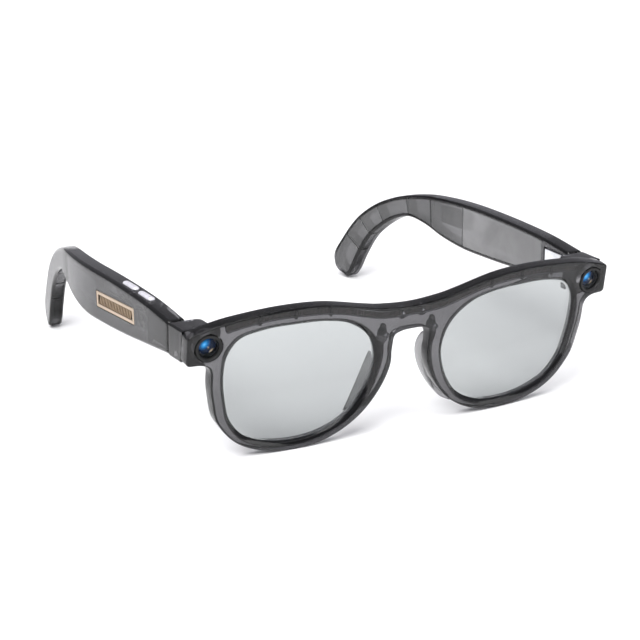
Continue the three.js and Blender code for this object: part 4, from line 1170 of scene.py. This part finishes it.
def tip_solid():
    """An ear tip, rounded at its end, with a row of pockets between ribs under its panels."""
    spans = [(a + 0.004, b - 0.004) for a, b in zip(TIP_MARKS, TIP_MARKS[1:])]
    begin = place_at(EAR_Y + 0.02)
    stations = [(t, any(a < t < b for a, b in spans)) for t in np.linspace(begin, 1, 110)]
    for a, b in spans:
        stations += [(a - 1e-5, False), (a + 1e-5, True), (b - 1e-5, True), (b + 1e-5, False)]
    stations += [(TIP_MARKS[-1] - 1e-5, False), (TIP_MARKS[-1] + 1e-5, False)]
    stations.sort()
    middle = (TOP_EDGE + LOW_EDGE) / 2
    end = edge_at(middle, 1)
    rows = []
    reach = 2.1
    for t, open_ in stations:
        u = max(0.0, 1 - float(np.linalg.norm(edge_at(middle, t) - end)) / reach)
        shrink = reach * (1 - math.sqrt(max(1 - u * u, 0))) * 0.95
        floor = WALL if open_ else width_at(t) - (TIP_SEAT if t < TIP_MARKS[-1] else SKIN)
        rows.append(section(t, floor, shrink=shrink))
    return loft(rows, SECTION_MATS)


def panel_solid(a, b, depth):
    """A cover between the pocket's lips, flush with the inner face, with softened edges."""
    rows = []
    soft = 0.14
    ts = [a, a + 0.0008] + list(np.linspace(a + 0.003, b - 0.003, 60)) + [b - 0.0008, b]
    for k, t in enumerate(ts):
        span, w, point = slice_at(t)
        end = k in (0, len(ts) - 1)
        g = WALL + 0.04 + (0.12 if end else 0)
        w0, w1 = w - depth, w - SKIN - (0.1 if end else 0)
        rows.append([point(d, v) for d, v in (
            (w0, g), (w0, span - g), (w1 - 0.12, span - g), (w1, span - g - soft),
            (w1, span * 0.5), (w1, g + soft), (w1 - 0.12, g))])
    return loft(rows)


def on_grille(solid):
    """Carries a piece from the grille's length, depth and height to the temple's outer face."""
    c, s = math.cos(GRILLE_LEAN), math.sin(GRILLE_LEAN)
    return solid.mapped(lambda a, d, b: (d - EDGE_X, GRILLE[0] + a * c - b * s,
                                         GRILLE[1] + a * s + b * c))


def rect(length, height, r=0.3):
    a, b = length / 2 - r, height / 2 - r
    return corners([(a, b), (-a, b), (-a, -b), (a, -b)], r)


def capsule(length, width):
    r = width / 2
    k = length / 2 - r
    return np.vstack([arc(k, 0, r, -90, 90, 16), arc(-k, 0, r, 90, 270, 16)])


def top_height(y):
    return float(edge_at(TOP_EDGE, place_at(y))[1])


def on_top(outline, profile, y, grid):
    """A plate that lies along the right temple's top about a depth, its profile running down."""
    top = top_height(y)
    return plate(outline, profile, grid=grid).mapped(lambda a, d, b: (BUTTON_X + b, y + a, top - d))


def thin(y0, y1, r0=0.01, r1=0.01):
    """A profile with hardly rounded edges."""
    return wall_profile(y0, y1, r0, r1, 1)


shells = pair(shell_solid, "temple_shell_{side}_smooth", [SMOKE, SMOKE_PAINTED_EDGE_SHADE], "temple_{side}",
              "smoke_shell", ["temple_shell_{side}"])
leaf_room = inner_box(INNER_X - 1.5, INNER_X + 1.6, 13.5, 28.2, SPANS[0][0] - 0.3, 0.05, 0.3)
for side, o in shells.items():
    tools = [cutter(leaf_room if side == "left" else leaf_room.mirrored())]
    if side == "right":
        tools.append(cutter(on_grille(plate(rect(26.9, 5.3), thin(-1, 0.75, r1=0.05), grid=4))))
        for y in BUTTONS.values():
            tools.append(cutter(on_top(capsule(9.0, 2.7), thin(-2, 1.6, r1=0.05), y, 4)))
    carve(o, *tools)

pair(tip_solid, "ear_tip_{side}_smooth", [TIP_SMOKE, SMOKE_PAINTED_EDGE_SHADE], "temple_{side}", "smoke_shell",
     ["ear_tip_{side}"])
PANEL_DEPTH, PANEL_SPLIT = 0.95, 74.6
pair(lambda: panel_solid(place_at(POCKET_Y + 0.3), place_at(PANEL_SPLIT), PANEL_DEPTH),
     "temple_panel_{side}", [COVER], "temple_{side}", "smoke_cover", ["temple_cover_{side}"])
pair(lambda: panel_solid(place_at(PANEL_SPLIT + 0.05), place_at(EAR_Y - 0.15), PANEL_DEPTH),
     "temple_panel_rear_{side}", [TIP_PANEL], "temple_{side}", "smoke_cover", [])


def tip_panels():
    s = Solid()
    for a, b in zip(TIP_MARKS, TIP_MARKS[1:]):
        s.add(panel_solid(a + 0.0008, b - 0.0008, 0.8))
    return s


def tip_ribs():
    """The dark ribs that stand between the ear tip's pockets."""
    s = Solid()
    for y in TIP_RIBS:
        rows = []
        for dy in (-0.16, 0.16):
            span, w, point = slice_at(place_at(y + dy))
            rows.append([point(WALL, 1.0), point(WALL, span - 1.0), point(w - 0.1, span - 1.0),
                         point(w - 0.1, 1.0)])
        s.add(loft(rows))
    return s


pair(tip_panels, "ear_tip_panel_{side}", [TIP_PANEL], "temple_{side}", "smoke_cover",
     ["ear_tip_cover_{side}"])
pair(tip_ribs, "ear_tip_ribs_{side}", [MODULE], "temple_{side}", "smoke_shell", [])

# ------------------------------------------------------------------ grille and buttons

border = plate(rect(26.6, 5.0), [(0.12, 0.0, 0), (0.0, 0.12, 0), (0, 0.6, 0)],
               holes=[(rect(24.4, 2.8, 0.2), [(0.1, 0.0, 0), (0, 0.1, 0), (0, 0.6, 0)])], grid=1)
finish_piece("grille_border", on_grille(border), [GOLD, GOLD], "temple_right", "gold_trim",
             ["grille_frame"])

hatch = plate(rect(24.3, 2.7, 0.1), thin(0.42, 0.55, 0.02, 0.02), grid=2)
# The backing sheet takes the second material, the painted gap shade.
hatch.m = [1] * len(hatch.m)
slant, pitch, half_bar, half_height, half_run = -1.1, 1.08, 0.25, 1.3, 12.1
for k in range(-11, 12):
    x = k * pitch
    if abs(x) + abs(slant) / 2 + half_bar > half_run:
        continue
    low_x, top_x = x - slant / 2, x + slant / 2
    bar = [(low_x - half_bar, -half_height), (low_x + half_bar, -half_height),
           (top_x + half_bar, half_height), (top_x - half_bar, half_height)]
    s = Solid()
    top = s.points([(a, 0.2, b) for a, b in bar])
    low = s.points([(a, 0.45, b) for a, b in bar])
    s.face(top)
    s.face(low[::-1])
    s.band(low, top)
    hatch.add(s)
finish_piece("grille_hatch", on_grille(hatch), [BRONZE, BRONZE_PAINTED_GAP_SHADE], "temple_right", "bronze_mesh",
             ["grille_mesh"])

cap_profile = [(1.1, -0.5, 0), (0.7, -0.46, 0), (0.36, -0.34, 0), (0.14, -0.16, 0), (0.03, 0.05, 0),
               (0, 0.25, 0), (0, 1.05, 0)]
for name, y in BUTTONS.items():
    finish_piece(f"button_cap_{name}", on_top(capsule(8.6, 2.3), cap_profile, y, 0.6), [SILVER],
                 f"button_{name}", "button_silver", [f"button_{name}"], sharp=60)
    # A black sheet at the bottom of the button's recess: painted shade in the gap round the cap.
    finish_piece(f"button_well_shade_{name}", on_top(capsule(8.9, 2.6), thin(1.45, 1.58), y, 2),
                 [BUTTON_GAP_SHADE, BUTTON_GAP_SHADE], "temple_right", "speaker_black")

# ------------------------------------------------------------------ camera, floor and light

EYE = (-322.61, -509.53, 191.99)
camera_data = bpy.data.cameras.new("camera")
camera_data.lens, camera_data.sensor_width, camera_data.sensor_fit = 121.45, 36, "HORIZONTAL"
camera_data.clip_start, camera_data.clip_end = 0.01, 20
camera = linked("camera", camera_data)
forward = Vector((0.4714, 0.8249, -0.3119)).normalized()
right = forward.cross(Vector((0, 0, 1))).normalized()
basis = Matrix((right, right.cross(forward), -forward)).transposed()
camera.matrix_world = (Matrix.Translation(LEVEL @ Vector(EYE))
                       @ (Matrix.Rotation(PITCH, 3, "X") @ basis).to_4x4())
bpy.context.scene.camera = camera

floor = bpy.data.meshes.new("floor")
floor.from_pydata([(-6, -6, 0), (6, -6, 0), (6, 6, 0), (-6, 6, 0)], [], [(0, 1, 2, 3)])
floor.materials.append(speckled("floor_paper", grey(0.90), grey(0.93), (3, 2), Roughness=0.9,
                                Specular_IOR_Level=0.1))
floor_object = linked("floor", floor)
floor_object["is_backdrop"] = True


def aimed(o, location, target):
    o.matrix_world = Matrix.Translation(location) @ (
        Vector(location) - Vector(target)).to_track_quat("Z", "Y").to_matrix().to_4x4()


def lamp(name, location, target, size, power):
    data = bpy.data.lights.new(name, "AREA")
    data.shape, data.size, data.energy = "DISK", size, power
    aimed(linked(name, data), location, target)


MIDDLE = (CAD_BOX[0] + CAD_BOX[1]) / 2
lamp("key", (-0.55, -0.45, 0.7), MIDDLE, 0.5, 6)
lamp("fill", (0.7, -0.8, 0.35), MIDDLE, 0.8, 3)
sun = bpy.data.lights.new("soft_sun", "SUN")
sun.energy, sun.angle = 2.6, math.radians(70)
sun_object = linked("soft_sun", sun)
sun_object.matrix_world = Vector((-0.3, -0.2, 1)).to_track_quat("Z", "Y").to_matrix().to_4x4()
world = bpy.data.worlds.new("studio")
world.use_nodes = True
world.node_tree.nodes["Background"].inputs["Color"].default_value = (0.93, 0.92, 1, 1)
world.node_tree.nodes["Background"].inputs["Strength"].default_value = 0.45
bpy.context.scene.world = world
bpy.context.scene.view_settings.view_transform = "Standard"

plain = lambda box: [[round(float(c), 6) for c in corner] for corner in box]
{"cad": plain(CAD_BOX), "visual": plain(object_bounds())}
